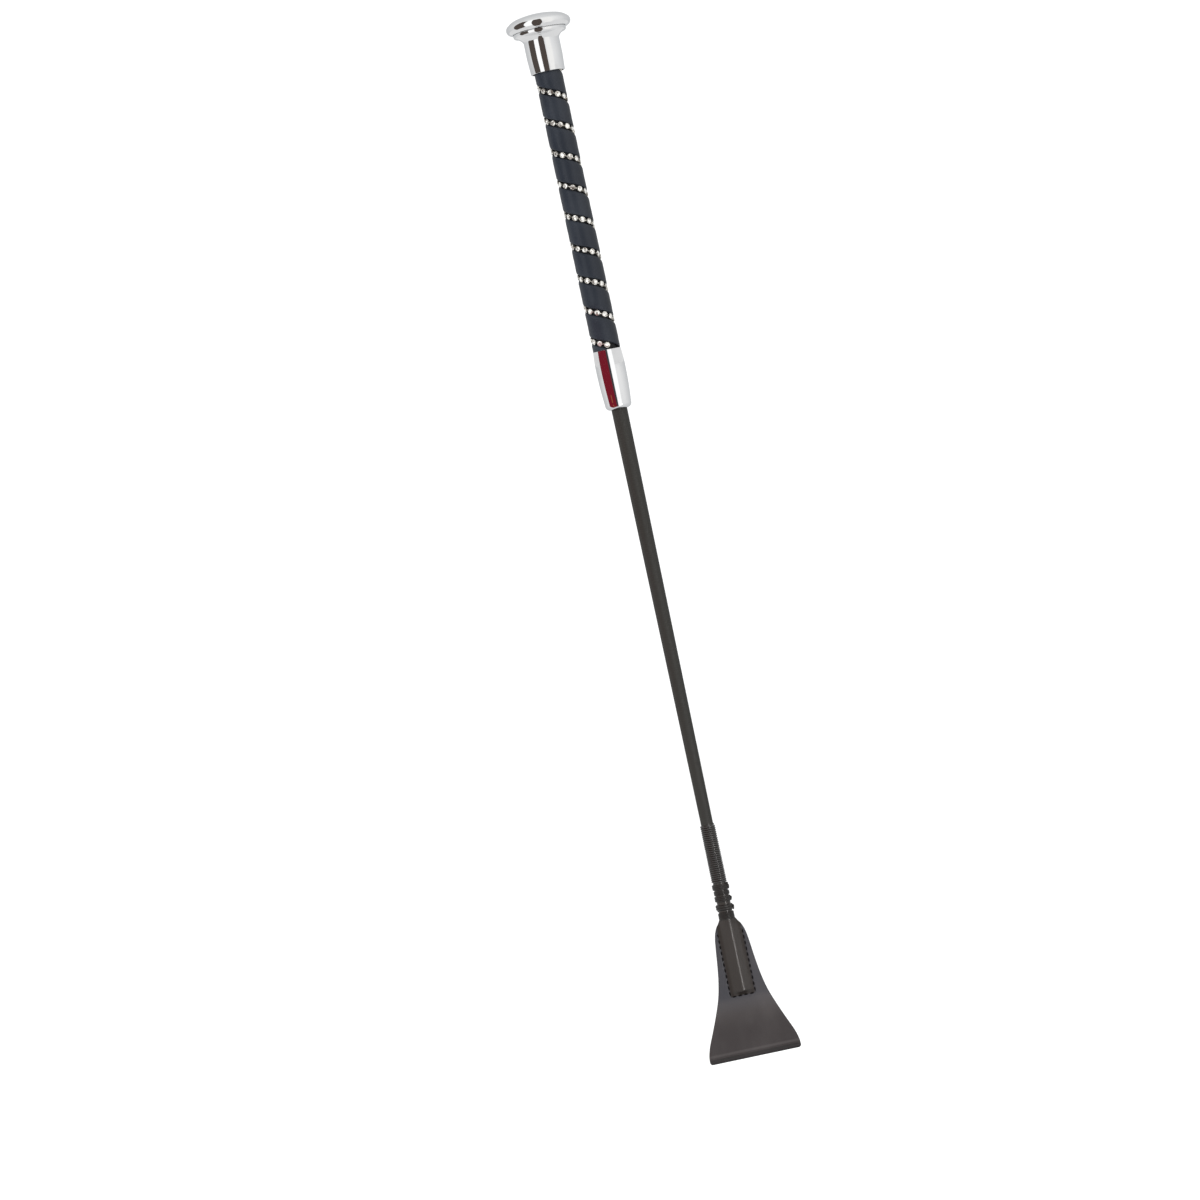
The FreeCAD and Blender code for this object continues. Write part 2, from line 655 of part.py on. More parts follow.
def make_stitches():
    """Two rows of stitches beside the rod and one across its end, on both faces of the pocket."""
    radius, length = value("stitch_radius"), value("stitch_length")
    leather, offset, spacing = (value(name) for name in
                                ("popper_leather", "stitch_offset", "stitch_spacing"))
    straight = length - 2 * radius
    capsule = Part.makeCylinder(radius, straight, FreeCAD.Vector(0, 0, -straight / 2))
    for end in (-straight / 2, straight / 2):
        capsule = capsule.fuse(Part.makeSphere(radius, FreeCAD.Vector(0, 0, end)))
    outside = Part.makeBox(2 * length, length, 2 * length, FreeCAD.Vector(-length, -length, -length))
    stitch = capsule.common(outside).Solids[0]

    first, seam = value("stitch_start"), value("seam_depth")
    rows = int((seam - first) / spacing) + 1
    places = [(side * offset, first + number * spacing, 0)
              for side in (-1, 1) for number in range(rows)]
    across = int(2 * offset / spacing)
    places += [((number - (across - 1) / 2) * spacing, seam, 90) for number in range(across)]
    top = value(POPPER_TOP)
    solids = []
    for face in (0, 180):
        to_face = FreeCAD.Rotation(FreeCAD.Vector(0, 0, 1), face)
        for x, depth, tilt in places:
            lie = FreeCAD.Rotation(FreeCAD.Vector(0, 1, 0), tilt)
            spot = to_face.multVec(FreeCAD.Vector(x, -leather, 0)) + FreeCAD.Vector(0, 0, top - depth)
            copy = stitch.copy()
            copy.Placement = FreeCAD.Placement(spot, to_face.multiply(lie))
            solids.append(copy)
    made_part("popper_stitches", solids)


# ---------------------------------------------------------------- build and write

def check():
    """Stops the build at any failed object or bad shape, before anything is written."""
    for item in doc.Objects:
        if any(word in state for state in item.State for word in ("Invalid", "Error")):
            raise RuntimeError(f"{item.Label} failed: {item.State}")
    for part in parts:
        if part.Shape.isNull() or not part.Shape.isValid() or not part.Shape.Solids:
            raise RuntimeError(f"{part.Label} has no valid solid")


fill_sheet()
make_knob()
make_grip()
make_chain()
make_ferrule()
make_shaft()
make_bindings()
make_pocket_layer("popper_front", behind=False)
make_pocket_layer("popper_back", behind=True)
make_blade()
make_stitches()
doc.recompute()
check()

os.makedirs("parts", exist_ok=True)
for part in parts:
    part.Shape.exportStep(f"parts/{part.Label}.step")
    box = part.Shape.BoundBox
    print(f"{part.Label:20s} {len(part.Shape.Solids):4d} solids {part.Shape.Volume:10.1f} mm3"
          f"  x {box.XMin:7.2f} {box.XMax:7.2f}  y {box.YMin:6.2f} {box.YMax:6.2f}"
          f"  z {box.ZMin:8.2f} {box.ZMax:8.2f}")
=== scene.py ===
"""Looks of a riding crop: polished knob and ferrule, leather grip wound with a stone chain,
covered shaft, thread whipping and a folded, stitched leather popper.

Every mesh is in metres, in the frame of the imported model. Sizes in the classes are in mm.
"""

import json
import logging
import math
from collections.abc import Sequence
from dataclasses import dataclass, field
from enum import Enum

import bmesh
import bpy
import numpy as np
from mathutils import Matrix, Vector


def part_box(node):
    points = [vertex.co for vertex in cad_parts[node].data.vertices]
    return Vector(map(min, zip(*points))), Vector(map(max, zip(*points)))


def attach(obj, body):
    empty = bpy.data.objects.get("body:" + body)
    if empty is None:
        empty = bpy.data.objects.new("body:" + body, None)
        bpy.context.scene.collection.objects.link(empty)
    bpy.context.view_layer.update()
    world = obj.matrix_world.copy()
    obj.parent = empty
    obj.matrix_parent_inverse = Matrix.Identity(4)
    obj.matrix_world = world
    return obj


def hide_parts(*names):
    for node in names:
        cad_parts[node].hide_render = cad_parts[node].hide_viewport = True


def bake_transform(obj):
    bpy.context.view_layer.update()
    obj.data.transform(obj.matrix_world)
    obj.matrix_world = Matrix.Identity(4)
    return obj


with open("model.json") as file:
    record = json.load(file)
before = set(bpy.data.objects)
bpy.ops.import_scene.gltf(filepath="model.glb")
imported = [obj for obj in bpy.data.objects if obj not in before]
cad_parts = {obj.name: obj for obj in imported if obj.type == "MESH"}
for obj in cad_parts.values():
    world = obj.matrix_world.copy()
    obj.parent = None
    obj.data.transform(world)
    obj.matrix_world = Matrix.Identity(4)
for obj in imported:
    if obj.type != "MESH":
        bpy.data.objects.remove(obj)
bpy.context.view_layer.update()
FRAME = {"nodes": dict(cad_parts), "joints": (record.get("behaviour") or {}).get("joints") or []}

MM = 0.001
# Degrees round the crop's axis to its front, which looks along -Y.
FRONT = -90
LOG = logging.getLogger("riding_crop")

Point = tuple[float, float]
Spot = tuple[float, float, float]
Colour = tuple[float, float, float]


class Part(Enum):
    """The crop's rigid bodies."""

    HANDLE = "handle"
    SHAFT = "shaft"
    POPPER = "popper"


class Bulge(Enum):
    """Which way an arc bulges, seen by someone who walks along the outline."""

    LEFT = 1
    RIGHT = -1


@dataclass(frozen=True)
class Levels:
    """Heights, in mm, that the sub-assemblies share."""

    knob_top: float
    rim: float
    ferrule_top: float
    mouth: float
    flex: float
    whip_top: float
    whip_end: float
    popper_top: float
    rod_end: float
    foot: float

    @classmethod
    def of_frame(cls) -> "Levels":
        """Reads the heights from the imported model's nodes and joints.

        Returns:
            The shared heights.
        """
        pivots = {joint["name"]: joint["pos_m"][2] / MM for joint in FRAME["joints"]}
        low = {name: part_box(name)[0].z / MM for name in FRAME["nodes"]}
        high = {name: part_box(name)[1].z / MM for name in FRAME["nodes"]}
        return cls(
            knob_top=high["knob_dome"], rim=low["knob_collar"], ferrule_top=high["grip_ferrule"],
            mouth=low["grip_ferrule"], flex=pivots["shaft_flex"], whip_top=high["whipping_thread"],
            whip_end=low["whipping_thread"], popper_top=low["neck_whipping"] - 0.1,
            rod_end=low["rod_tip_cap"], foot=low["popper_blade"])


# ------------------------------------------------------------------ shader and node tools

class Wave:
    """A node socket that takes part in arithmetic, each step of which adds a Math node."""

    def __init__(self, maker: "NodeMaker", socket: bpy.types.NodeSocket) -> None:
        """Wraps an output socket of the maker's tree."""
        self.maker = maker
        self.socket = socket

    def step(self, operation: str, *values: "Wave | float", clamp: bool = False) -> "Wave":
        """Adds one Math node.

        Args:
            operation: The Math node's operation.
            values: What goes into it, in order.
            clamp: Whether the result stays between 0 and 1.

        Returns:
            The node's result.
        """
        settings = {"operation": operation, "use_clamp": clamp}
        made = self.maker.node("ShaderNodeMath", settings, dict(enumerate(values)))
        return Wave(self.maker, made.outputs[0])

    def __add__(self, other: "Wave | float") -> "Wave":
        """Sum."""
        return self.step("ADD", self, other)

    __radd__ = __add__

    def __sub__(self, other: "Wave | float") -> "Wave":
        """Difference."""
        return self.step("SUBTRACT", self, other)

    def __rsub__(self, other: float) -> "Wave":
        """Difference from a number."""
        return self.step("SUBTRACT", other, self)

    def __mul__(self, other: "Wave | float") -> "Wave":
        """Product."""
        return self.step("MULTIPLY", self, other)

    __rmul__ = __mul__

    def __abs__(self) -> "Wave":
        """Size without sign."""
        return self.step("ABSOLUTE", self)

    def sine(self) -> "Wave":
        """Sine of the value in radians."""
        return self.step("SINE", self)

    def between(self, low: float, high: float) -> "Wave":
        """A soft step from 0 at the low value to 1 at the high one.

        Args:
            low: Where the step starts.
            high: Where the step ends.

        Returns:
            The step, from 0 to 1.
        """
        settings = {"interpolation_type": "SMOOTHSTEP"}
        made = self.maker.node("ShaderNodeMapRange", settings, {"Value": self, 1: low, 2: high})
        return Wave(self.maker, made.outputs[0])


class NodeMaker:
    """Adds nodes to one tree, from their settings and from the values or links of their sockets."""

    def __init__(self, tree: bpy.types.NodeTree) -> None:
        """Keeps the tree that gets the nodes."""
        self.tree = tree

    def node(self, kind: str, settings: dict | None = None,
             inputs: dict | None = None) -> bpy.types.Node:
        """Adds a node.

        Args:
            kind: The node's type.
            settings: Its properties, and "stops" for a ramp's places and colours.
            inputs: A value, socket or wave for each named or numbered input.

        Returns:
            The new node.
        """
        made = self.tree.nodes.new(kind)
        for name, setting in (settings or {}).items():
            if name == "stops":
                self._set_stops(made.color_ramp, setting)
            else:
                setattr(made, name, setting)
        for name, value in (inputs or {}).items():
            self._feed(made.inputs[name], value)
        return made

    def wave(self, kind: str, output: str | int, settings: dict | None = None,
             inputs: dict | None = None) -> Wave:
        """Adds a node and wraps one of its outputs, by name or number."""
        return Wave(self, self.node(kind, settings, inputs).outputs[output])

    def _feed(self, socket: bpy.types.NodeSocket, value: object) -> None:
        """Links a socket or wave, or sets a plain value.

        Args:
            socket: The input.
            value: What it gets.
        """
        if isinstance(value, Wave):
            value = value.socket
        if isinstance(value, bpy.types.NodeSocket):
            self.tree.links.new(value, socket)
        elif isinstance(value, tuple) and socket.type == "RGBA" and len(value) == 3:
            socket.default_value = (*value, 1.0)
        else:
            socket.default_value = value

    @staticmethod
    def _set_stops(ramp: bpy.types.ColorRamp, stops: Sequence[tuple[float, Colour]]) -> None:
        """Fills a ramp.

        Args:
            ramp: The ramp.
            stops: Its places and colours.
        """
        while len(ramp.elements) < len(stops):
            ramp.elements.new(1.0)
        for element, (place, colour) in zip(ramp.elements, stops):
            element.position = place
            element.color = (*colour, 1.0)


class Shader(NodeMaker):
    """One material, with the patterns that the finishes share."""

    def __init__(self, name: str) -> None:
        """Makes an empty material.

        Args:
            name: The material's name.
        """
        self.material = bpy.data.materials.new(name)
        self.material.use_nodes = True
        super().__init__(self.material.node_tree)
        self.tree.nodes.clear()
        self.place = self.node("ShaderNodeTexCoord").outputs["Object"]

    def noise(self, scale: float, detail: float = 3.0, stretch: Spot | None = None) -> Wave:
        """Cloudy noise from 0 to 1, in clouds for each metre, denser along some axes."""
        inputs = {"Vector": self.stretched(stretch), "Scale": scale, "Detail": detail}
        return self.wave("ShaderNodeTexNoise", 0, None, inputs)

    def cells(self, scale: float, output: str = "Distance") -> Wave:
        """Rounded cells in object space.

        Args:
            scale: Cells for each metre.
            output: The cells' distance or colour.

        Returns:
            The cells' pattern.
        """
        settings = {"feature": "F1"}
        inputs = {"Vector": self.place, "Scale": scale}
        return self.wave("ShaderNodeTexVoronoi", output, settings, inputs)

    def stretched(self, stretch: Spot | None) -> bpy.types.NodeSocket:
        """The object's own coordinates, denser along some axes.

        Args:
            stretch: The factor for each axis.

        Returns:
            The coordinates.
        """
        if stretch is None:
            return self.place
        inputs = {"Vector": self.place, "Scale": stretch}
        return self.node("ShaderNodeMapping", None, inputs).outputs[0]

    def axes(self, vector: bpy.types.NodeSocket | None = None) -> tuple[Wave, Wave, Wave]:
        """The x, y and z of a vector, or of the object's own coordinates."""
        split = self.node("ShaderNodeSeparateXYZ", None, {0: vector or self.place})
        return tuple(Wave(self, output) for output in split.outputs)

    def winding(self) -> tuple[Wave, Wave]:
        """The piece's own UV map: its place round and along the piece."""
        around, along, _ = self.axes(self.node("ShaderNodeTexCoord").outputs["UV"])
        return around, along

    def tint(self, first: "Colour | Wave", second: "Colour | Wave", share: "Wave | float") -> Wave:
        """Mixes two colours, with only the second where the share is 1."""
        settings = {"data_type": "RGBA"}
        return self.wave("ShaderNodeMix", 2, settings, {0: share, 6: first, 7: second})

    def relief(self, height: Wave, depth: float, strength: float = 1.0) -> Wave:
        """Bumps the surface by a height from 0 to 1, where 1 stands this many metres deep."""
        inputs = {"Strength": strength, "Distance": depth, "Height": height}
        return self.wave("ShaderNodeBump", 0, None, inputs)

    def done(self, **inputs: object) -> bpy.types.Material:
        """Closes the material with a Principled shader.

        Args:
            inputs: The shader's sockets, with _ for each space in their names.

        Returns:
            The finished material.
        """
        named = {name.replace("_", " "): value for name, value in inputs.items()}
        surface = self.node("ShaderNodeBsdfPrincipled", None, named)
        self.node("ShaderNodeOutputMaterial", None, {"Surface": surface.outputs[0]})
        return self.material


# ------------------------------------------------------------------ finishes

@dataclass(frozen=True)
class PolishedMetal:
    """Mirror-polished cast metal with fine hairlines from handling."""

    name: str
    tone: Colour = (0.84, 0.845, 0.85)
    dull_tone: Colour = (0.74, 0.74, 0.745)
    roughness: float = 0.035
    hairlines: float = 0.05

    def make(self) -> bpy.types.Material:
        """Builds the material.

        Returns:
            The material.
        """
        shader = Shader(self.name)
        clouds = shader.noise(90.0, 4.0)
        lines = shader.noise(260.0, 5.0, (1.0, 1.0, 14.0))
        wear = (clouds * 0.6 + lines * 0.4).between(0.45, 0.75)
        return shader.done(
            Base_Color=shader.tint(self.tone, self.dull_tone, wear),
            Metallic=1.0,
            Roughness=self.roughness + wear * self.hairlines,
            Normal=shader.relief(lines, 0.000004, 0.12))


@dataclass(frozen=True)
class CastMetal:
    """Plated cups and links, bright, with small random patches of tarnish. bright on the claws, tarnished
    in the corners.
    """

    name: str
    tone: Colour = (0.82, 0.80, 0.74)
    tarnish: Colour = (0.16, 0.14, 0.11)
    roughness: float = 0.16

    def make(self) -> bpy.types.Material:
        """Builds the material.

        Returns:
            The material.
        """
        shader = Shader(self.name)
        age = shader.noise(1500.0, 3.0).between(0.42, 0.68)
        return shader.done(
            Base_Color=shader.tint(self.tone, self.tarnish, age * 0.75),
            Metallic=1.0,
            Roughness=self.roughness + age * 0.25,
            Normal=shader.relief(age, 0.00002, 0.4))


@dataclass(frozen=True)
class CutStone:
    """Foil-backed cut glass with painted flashes: small cells of it are painted white or warm grey,
    standing in for the facets' reflections.
    """

    name: str
    bright: Colour = (0.97, 0.96, 0.92)
    shade: Colour = (0.26, 0.22, 0.19)

    def make(self) -> bpy.types.Material:
        """Builds the material.

        Returns:
            The material.
        """
        shader = Shader(self.name)
        # Painted reflection: each cell gets a random share of the bright or the dark colour, as facet
        # flashes.
        flash = shader.cells(900.0, "Color")
        depth = shader.axes(flash.socket)[0].between(0.55, 0.95)
        return shader.done(
            Base_Color=shader.tint(self.bright, self.shade, depth),
            Metallic=0.82,
            Roughness=0.03 + depth * 0.06,
            Coat_Weight=1.0,
            Coat_Roughness=0.02)


@dataclass(frozen=True)
class Leather:
    """Dyed leather: pebbled grain, soft creases and a slight bloom where it is handled."""

    name: str
    tone: Colour
    light_tone: Colour
    grain: float = 2100.0
    grain_depth: float = 0.00006
    roughness: float = 0.44
    specular: float = 0.32
    crease_stretch: Spot = (1.0, 1.0, 5.0)

    def make(self) -> bpy.types.Material:
        """Builds the material.

        Returns:
            The material.
        """
        shader = Shader(self.name)
        pebbles = shader.cells(self.grain)
        creases = shader.noise(110.0, 6.0, self.crease_stretch)
        bloom = shader.noise(38.0, 3.0).between(0.35, 0.75)
        height = pebbles * 0.45 + creases * 0.9
        return shader.done(
            Base_Color=shader.tint(self.tone, self.light_tone, bloom * 0.7 + pebbles * 0.2),
            Roughness=self.roughness + bloom * 0.08 - pebbles * 0.06,
            Specular_IOR_Level=self.specular,
            Normal=shader.relief(height, self.grain_depth, 0.55))


@dataclass(frozen=True)
class PopperHide:
    """Popper leather: smooth grain, browner and glossier over the rod, burnished at its edges; painted
    shade on the stitch rows and the hem's fold, a painted highlight line above the hem.
    """

    name: str
    flap: Colour = (0.0190, 0.0148, 0.0150)
    flank: Colour = (0.0230, 0.0225, 0.0275)
    pocket: Colour = (0.0105, 0.0068, 0.0048)
    # Lighter colour for wear, and for the painted highlight line above the hem.
    worn_and_highlight: Colour = (0.060, 0.053, 0.052)
    # Dark colour for the burnished edges, and for painted shade on the stitch rows and the hem's fold.
    burnish_and_shade: Colour = (0.004, 0.0033, 0.0033)
    pocket_half: float = 0.0076
    ridge_half: float = 0.0048
    row_offset: float = 0.00775
    fold_reach: float = 0.022
    # How far above the hem line the painted highlight line sits.
    hem_highlight_rise: float = 0.0016
    seam_level: float = -0.4882
    hem_level: float = -0.5232

    def make(self) -> bpy.types.Material:
        """Builds the material.

        Returns:
            The material.
        """
        shader = Shader(self.name)
        across, through, up = shader.axes()
        pebbles = shader.cells(1700.0)
        creases = shader.noise(90.0, 6.0, (3.0, 1.0, 1.0))
        bloom = shader.noise(55.0, 4.0, (1.0, 1.0, 0.5))
        size = abs(across)
        above = up.between(self.seam_level - 0.0003, self.seam_level + 0.0003)
        pocket = (1 - size.between(self.pocket_half - 0.0006, self.pocket_half + 0.0003)) * above
        ridge = (1 - size.between(self.ridge_half, self.ridge_half + 0.0012)) * above
        # Painted shade: a dark line along each stitch row, standing in for the shade in its dent.
        row = (1 - abs(size - self.row_offset).between(0.0002, 0.0007)) * above
        cut = 1 - abs(through).between(0.0004, 0.0011)
        # Painted shade: the hem's rounded fold, below the hem line, is darkened as if turned from the
        # light.
        hem = 1 - up.between(self.hem_level - 0.0006, self.hem_level + 0.0002)
        fold = up.between(self.seam_level - self.fold_reach, self.seam_level - 0.004)
        fold = fold * (1 - up.between(self.seam_level - 0.0035, self.seam_level + 0.001))
        outer = shader.tint(self.flap, self.flank, up.between(self.seam_level - 0.012, self.seam_level))
        skin = shader.tint(outer, self.pocket, pocket)
        wear = bloom.between(0.42, 0.72) * 0.22 + fold * 0.3 + pebbles * 0.08
        # Painted highlight: a light line just above the hem.
        shine = 1 - abs(up - self.hem_level - self.hem_highlight_rise).between(0.0003, 0.0011)
        lit = shader.tint(skin, self.worn_and_highlight, wear * (1 - pocket * 0.7) + shine * 0.3)
        # Burnished edges, plus painted shade on the hem's fold and the stitch rows.
        dark = cut * 0.85 + hem * 0.6 + row * 0.3
        return shader.done(
            Base_Color=shader.tint(lit, self.burnish_and_shade, dark),
            Roughness=0.47 - ridge * 0.15 + bloom * 0.06,
            Specular_IOR_Level=0.33,
            Coat_Weight=ridge * 0.35,
            Coat_Roughness=0.2,
            Normal=shader.relief(pebbles * 0.4 + creases, 0.00006, 0.5))


@dataclass(frozen=True)
class BraidedCover:
    """The shaft's lacquered thread cover: two crossing lays of fine thread under a satin coat."""

    name: str
    tone: Colour = (0.0120, 0.0112, 0.0097)
    light_tone: Colour = (0.0250, 0.0235, 0.0205)
    ends_round: int = 16
    lay_length: float = 0.011

    def make(self) -> bpy.types.Material:
        """Builds the material.

        Returns:
            The material.
        """
        shader = Shader(self.name)
        around, along = shader.winding()
        turn = around * (2 * math.pi * self.ends_round)
        rise = along * (2 * math.pi * self.ends_round / self.lay_length / 4)
        braid = (turn + rise).sine() * (turn - rise).sine() * 0.5 + 0.5
        clouds = shader.noise(25.0, 4.0, (1.0, 1.0, 0.25))
        return shader.done(
            Base_Color=shader.tint(self.tone, self.light_tone, braid * 0.35 + clouds * 0.4),
            Roughness=0.5 + clouds * 0.1,
            Specular_IOR_Level=0.3,
            Normal=shader.relief(braid, 0.00003, 0.35))


@dataclass(frozen=True)
class Thread:
    """Waxed thread or cord with loose fibres and a dull shine."""

    name: str
    tone: Colour
    light_tone: Colour
    roughness: float = 0.42
    specular: float = 0.5

    def make(self) -> bpy.types.Material:
        """Builds the material.

        Returns:
            The material.
        """
        shader = Shader(self.name)
        fibres = shader.noise(2600.0, 4.0, (1.0, 1.0, 0.35))
        patches = shader.noise(160.0, 3.0)
        return shader.done(
            Base_Color=shader.tint(self.tone, self.light_tone, fibres * 0.5 + patches * 0.35),
            Roughness=self.roughness + patches * 0.2 - 0.1,
            Specular_IOR_Level=self.specular,
            Normal=shader.relief(fibres, 0.00008, 0.6))


@dataclass(frozen=True)
class InnerStuff:
    """Plain hidden stuff, such as turned wood, moulded plastic, foam or drawn glass fibre."""

    name: str
    tone: Colour
    light_tone: Colour
    grain: float
    stretch: Spot
    roughness: float
    depth: float

    def make(self) -> bpy.types.Material:
        """Builds the material.

        Returns:
            The material.
        """
        shader = Shader(self.name)
        grain = shader.noise(self.grain, 5.0, self.stretch)
        return shader.done(
            Base_Color=shader.tint(self.tone, self.light_tone, grain.between(0.3, 0.7)),
            Roughness=self.roughness + grain * 0.1,
            Normal=shader.relief(grain, self.depth, 0.6))


@dataclass
class Finishes:
    """Every finish of the crop, made once."""

    knob: bpy.types.Material = field(init=False)
    ferrule: bpy.types.Material = field(init=False)
    chain: bpy.types.Material = field(init=False)
    stone: bpy.types.Material = field(init=False)
    grip: bpy.types.Material = field(init=False)
    underwrap: bpy.types.Material = field(init=False)
    popper: bpy.types.Material = field(init=False)
    cover: bpy.types.Material = field(init=False)
    whipping: bpy.types.Material = field(init=False)
    cord: bpy.types.Material = field(init=False)
    stitch: bpy.types.Material = field(init=False)
    wood: bpy.types.Material = field(init=False)
    plastic: bpy.types.Material = field(init=False)
    fibreglass: bpy.types.Material = field(init=False)

    def __post_init__(self) -> None:
        """Makes the materials."""
        self.knob = PolishedMetal("polished_knob").make()
        self.ferrule = PolishedMetal("polished_ferrule", roughness=0.03).make()
        self.chain = CastMetal("chain_plating").make()
        self.stone = CutStone("cut_stone").make()
        self.grip = Leather("grip_hide", (0.0085, 0.0110, 0.0165), (0.0155, 0.0190, 0.0260)).make()
        self.underwrap = Leather("underwrap_hide", (0.008, 0.008, 0.009), (0.014, 0.014, 0.015),
                                 roughness=0.7, specular=0.2).make()
        self.popper = PopperHide("popper_hide").make()
        self.cover = BraidedCover("braided_cover").make()
        self.whipping = Thread("whipping_thread_wax", (0.0032, 0.0024, 0.0019),
                               (0.014, 0.0105, 0.0085), roughness=0.29, specular=0.85).make()
        self.cord = Thread("binding_cord_wax", (0.0030, 0.0022, 0.0018), (0.013, 0.0100, 0.0082),
                           roughness=0.34, specular=0.45).make()
        self.stitch = Thread("stitch_thread_wax", (0.0020, 0.0017, 0.0018),
                             (0.006, 0.0050, 0.0052), roughness=0.7, specular=0.1).make()
        self.wood = InnerStuff("turned_wood", (0.33, 0.19, 0.09), (0.50, 0.33, 0.18), 180.0,
                               (6.0, 6.0, 1.0), 0.6, 0.0001).make()
        self.plastic = InnerStuff("moulded_plastic", (0.02, 0.02, 0.02), (0.03, 0.03, 0.03),
                                  400.0, (1.0, 1.0, 1.0), 0.45, 0.00003).make()
        self.fibreglass = InnerStuff("drawn_fibreglass", (0.42, 0.46, 0.36), (0.58, 0.61, 0.50),
                                     900.0, (1.0, 1.0, 0.04), 0.35, 0.00004).make()


# ------------------------------------------------------------------ mesh tools

def arc(start: Point, finish: Point, radius: float, side: Bulge, steps: int = 12) -> list[Point]:
    """The points after start, up to finish, on the short arc between them.

    Args:
        start: Where the arc starts.
        finish: Where it ends.
        radius: Its radius.
        side: Which way it bulges.
        steps: How many points it gets.

    Returns:
        The points.
    """
    run = np.subtract(finish, start)
    half = float(np.hypot(*run)) / 2
    along = run / (2 * half)
    across = np.array((-along[1], along[0])) * side.value
    middle = np.add(start, finish) / 2
    reach = math.asin(min(1.0, half / radius))
    made = []
    for number in range(1, steps + 1):
        angle = reach * (2 * number / steps - 1)
        spot = middle + along * radius * math.sin(angle)
        spot = spot + across * radius * (math.cos(angle) - math.cos(reach))
        made.append((float(spot[0]), float(spot[1])))
    return made


def bowed(start: Point, finish: Point, bulge: float, side: Bulge, steps: int = 12) -> list[Point]:
    """The points after start, up to finish, on an arc that bulges this far from its chord.

    Args:
        start: Where the arc starts.
        finish: Where it ends.
        bulge: How far its middle stands from the chord.
        side: Which way it bulges.
        steps: How many points it gets.

    Returns:
        The points.
    """
    half = math.dist(start, finish) / 2
    return arc(start, finish, (half ** 2 + bulge ** 2) / (2 * bulge), side, steps)


def mesh_piece(name: str, vertices: np.ndarray, faces: list, uvs: Sequence[Point] | None = None,
               sharp: float = 35.0) -> bpy.types.Object:
    """A finished mesh object at the origin, closed, with its faces outwards.

    Args:
        name: The piece's name.
        vertices: Its corners in mm.
        faces: Its faces, as tuples of corner numbers.
        uvs: One place on the UV map for each corner of each face, in order.
        sharp: The angle, in degrees, past which an edge stays sharp.

    Returns:
        The object.
    """
    mesh = bpy.data.meshes.new(name)
    mesh.from_pydata((np.asarray(vertices, float) * MM).tolist(), [], faces)
    if uvs is not None:
        layer = mesh.uv_layers.new(name="UVMap")
        layer.data.foreach_set("uv", np.asarray(uvs, float).ravel())
    piece = bpy.data.objects.new(name, mesh)
    bpy.context.scene.collection.objects.link(piece)
    tidy(mesh, sharp)
    return piece


def tidy(mesh: bpy.types.Mesh, sharp: float = 35.0) -> None:
    """Merges doubles, fills open ends, turns faces outwards and shades the mesh.

    Args:
        mesh: The mesh.
        sharp: The angle, in degrees, past which an edge stays sharp.
    """
    work = bmesh.new()
    work.from_mesh(mesh)
    bmesh.ops.remove_doubles(work, verts=work.verts, dist=1e-7)
    bmesh.ops.dissolve_degenerate(work, edges=work.edges, dist=1e-8)
    rims = [edge for edge in work.edges if edge.is_boundary]
    if rims:
        bmesh.ops.holes_fill(work, edges=rims, sides=0)
    bmesh.ops.recalc_face_normals(work, faces=work.faces)
    work.to_mesh(mesh)
    work.free()
    mesh.shade_smooth()
    mesh.set_sharp_from_angle(angle=math.radians(sharp))
    mesh.update()


def ring_grid(rows: np.ndarray, closed: bool = True) -> list[tuple[int, int, int, int]]:
    """Quads between rows of equally many points.

    Args:
        rows: The points, as rows by points by 3.
        closed: Whether each row's last point joins its first.

    Returns:
        The faces, as corner numbers of the flattened points.
    """
    count, width = rows.shape[0], rows.shape[1]
    last = width if closed else width - 1
    return [(row * width + column, row * width + (column + 1) % width,
             (row + 1) * width + (column + 1) % width, (row + 1) * width + column)
            for row in range(count - 1) for column in range(last)]


def turned(name: str, outline: Sequence[Point], segments: int = 160,
           sharp: float = 35.0) -> bpy.types.Object:
    """A solid turned about the crop's axis from a closed outline, with its own UV map.

    Args:
        name: The piece's name.
        outline: Corners as (radius, height) in mm.
        segments: How many sides the turning has.
        sharp: The angle, in degrees, past which an edge stays sharp.

    Returns:
        The object.
    """
    ring = list(outline) + [outline[0]]
    angles = np.arange(segments) * 2 * math.pi / segments
    rows = np.array([[(radius * math.cos(a), radius * math.sin(a), height) for a in angles]
                     for radius, height in ring])
    faces = ring_grid(rows)
    runs = np.cumsum([0.0] + [math.dist(a, b) * MM for a, b in zip(ring, ring[1:])])
    uvs = []
    for row in range(len(ring) - 1):
        for column in range(segments):
            left, right = column / segments, (column + 1) / segments
            uvs += [(left, runs[row]), (right, runs[row]), (right, runs[row + 1]),
                    (left, runs[row + 1])]
    return mesh_piece(name, rows.reshape(-1, 3), faces, uvs, sharp)


def spun_about_x(outline: Sequence[Point], sides: int, twist: float = 0.0) -> tuple[list, list]:
    """A shell turned about the X axis.

    Args:
        outline: Corners as (along, radius) in mm, from one end to the other.
        sides: How many sides it has.
        twist: How many sides each ring is turned on from the last.

    Returns:
        Its corners and its faces.
    """
    corners = []
    for number, (along, radius) in enumerate(outline):
        for side in range(sides):
            angle = 2 * math.pi * (side + twist * number) / sides
            corners.append((along, radius * math.cos(angle), radius * math.sin(angle)))
    rows = np.array(corners).reshape(len(outline), sides, 3)
    return corners, ring_grid(rows)


def dress(piece: bpy.types.Object, material: bpy.types.Material) -> None:
    """Gives a piece one material.

    Args:
        piece: The object.
        material: Its finish.
    """
    piece.data.materials.clear()
    piece.data.materials.append(material)


def report(piece: bpy.types.Object) -> None:
    """Logs a piece's name and how many faces it has.

    Args:
        piece: The finished object.
    """
    LOG.info("%s: %d faces", piece.name, len(piece.data.polygons))


# ------------------------------------------------------------------ geometry node tools

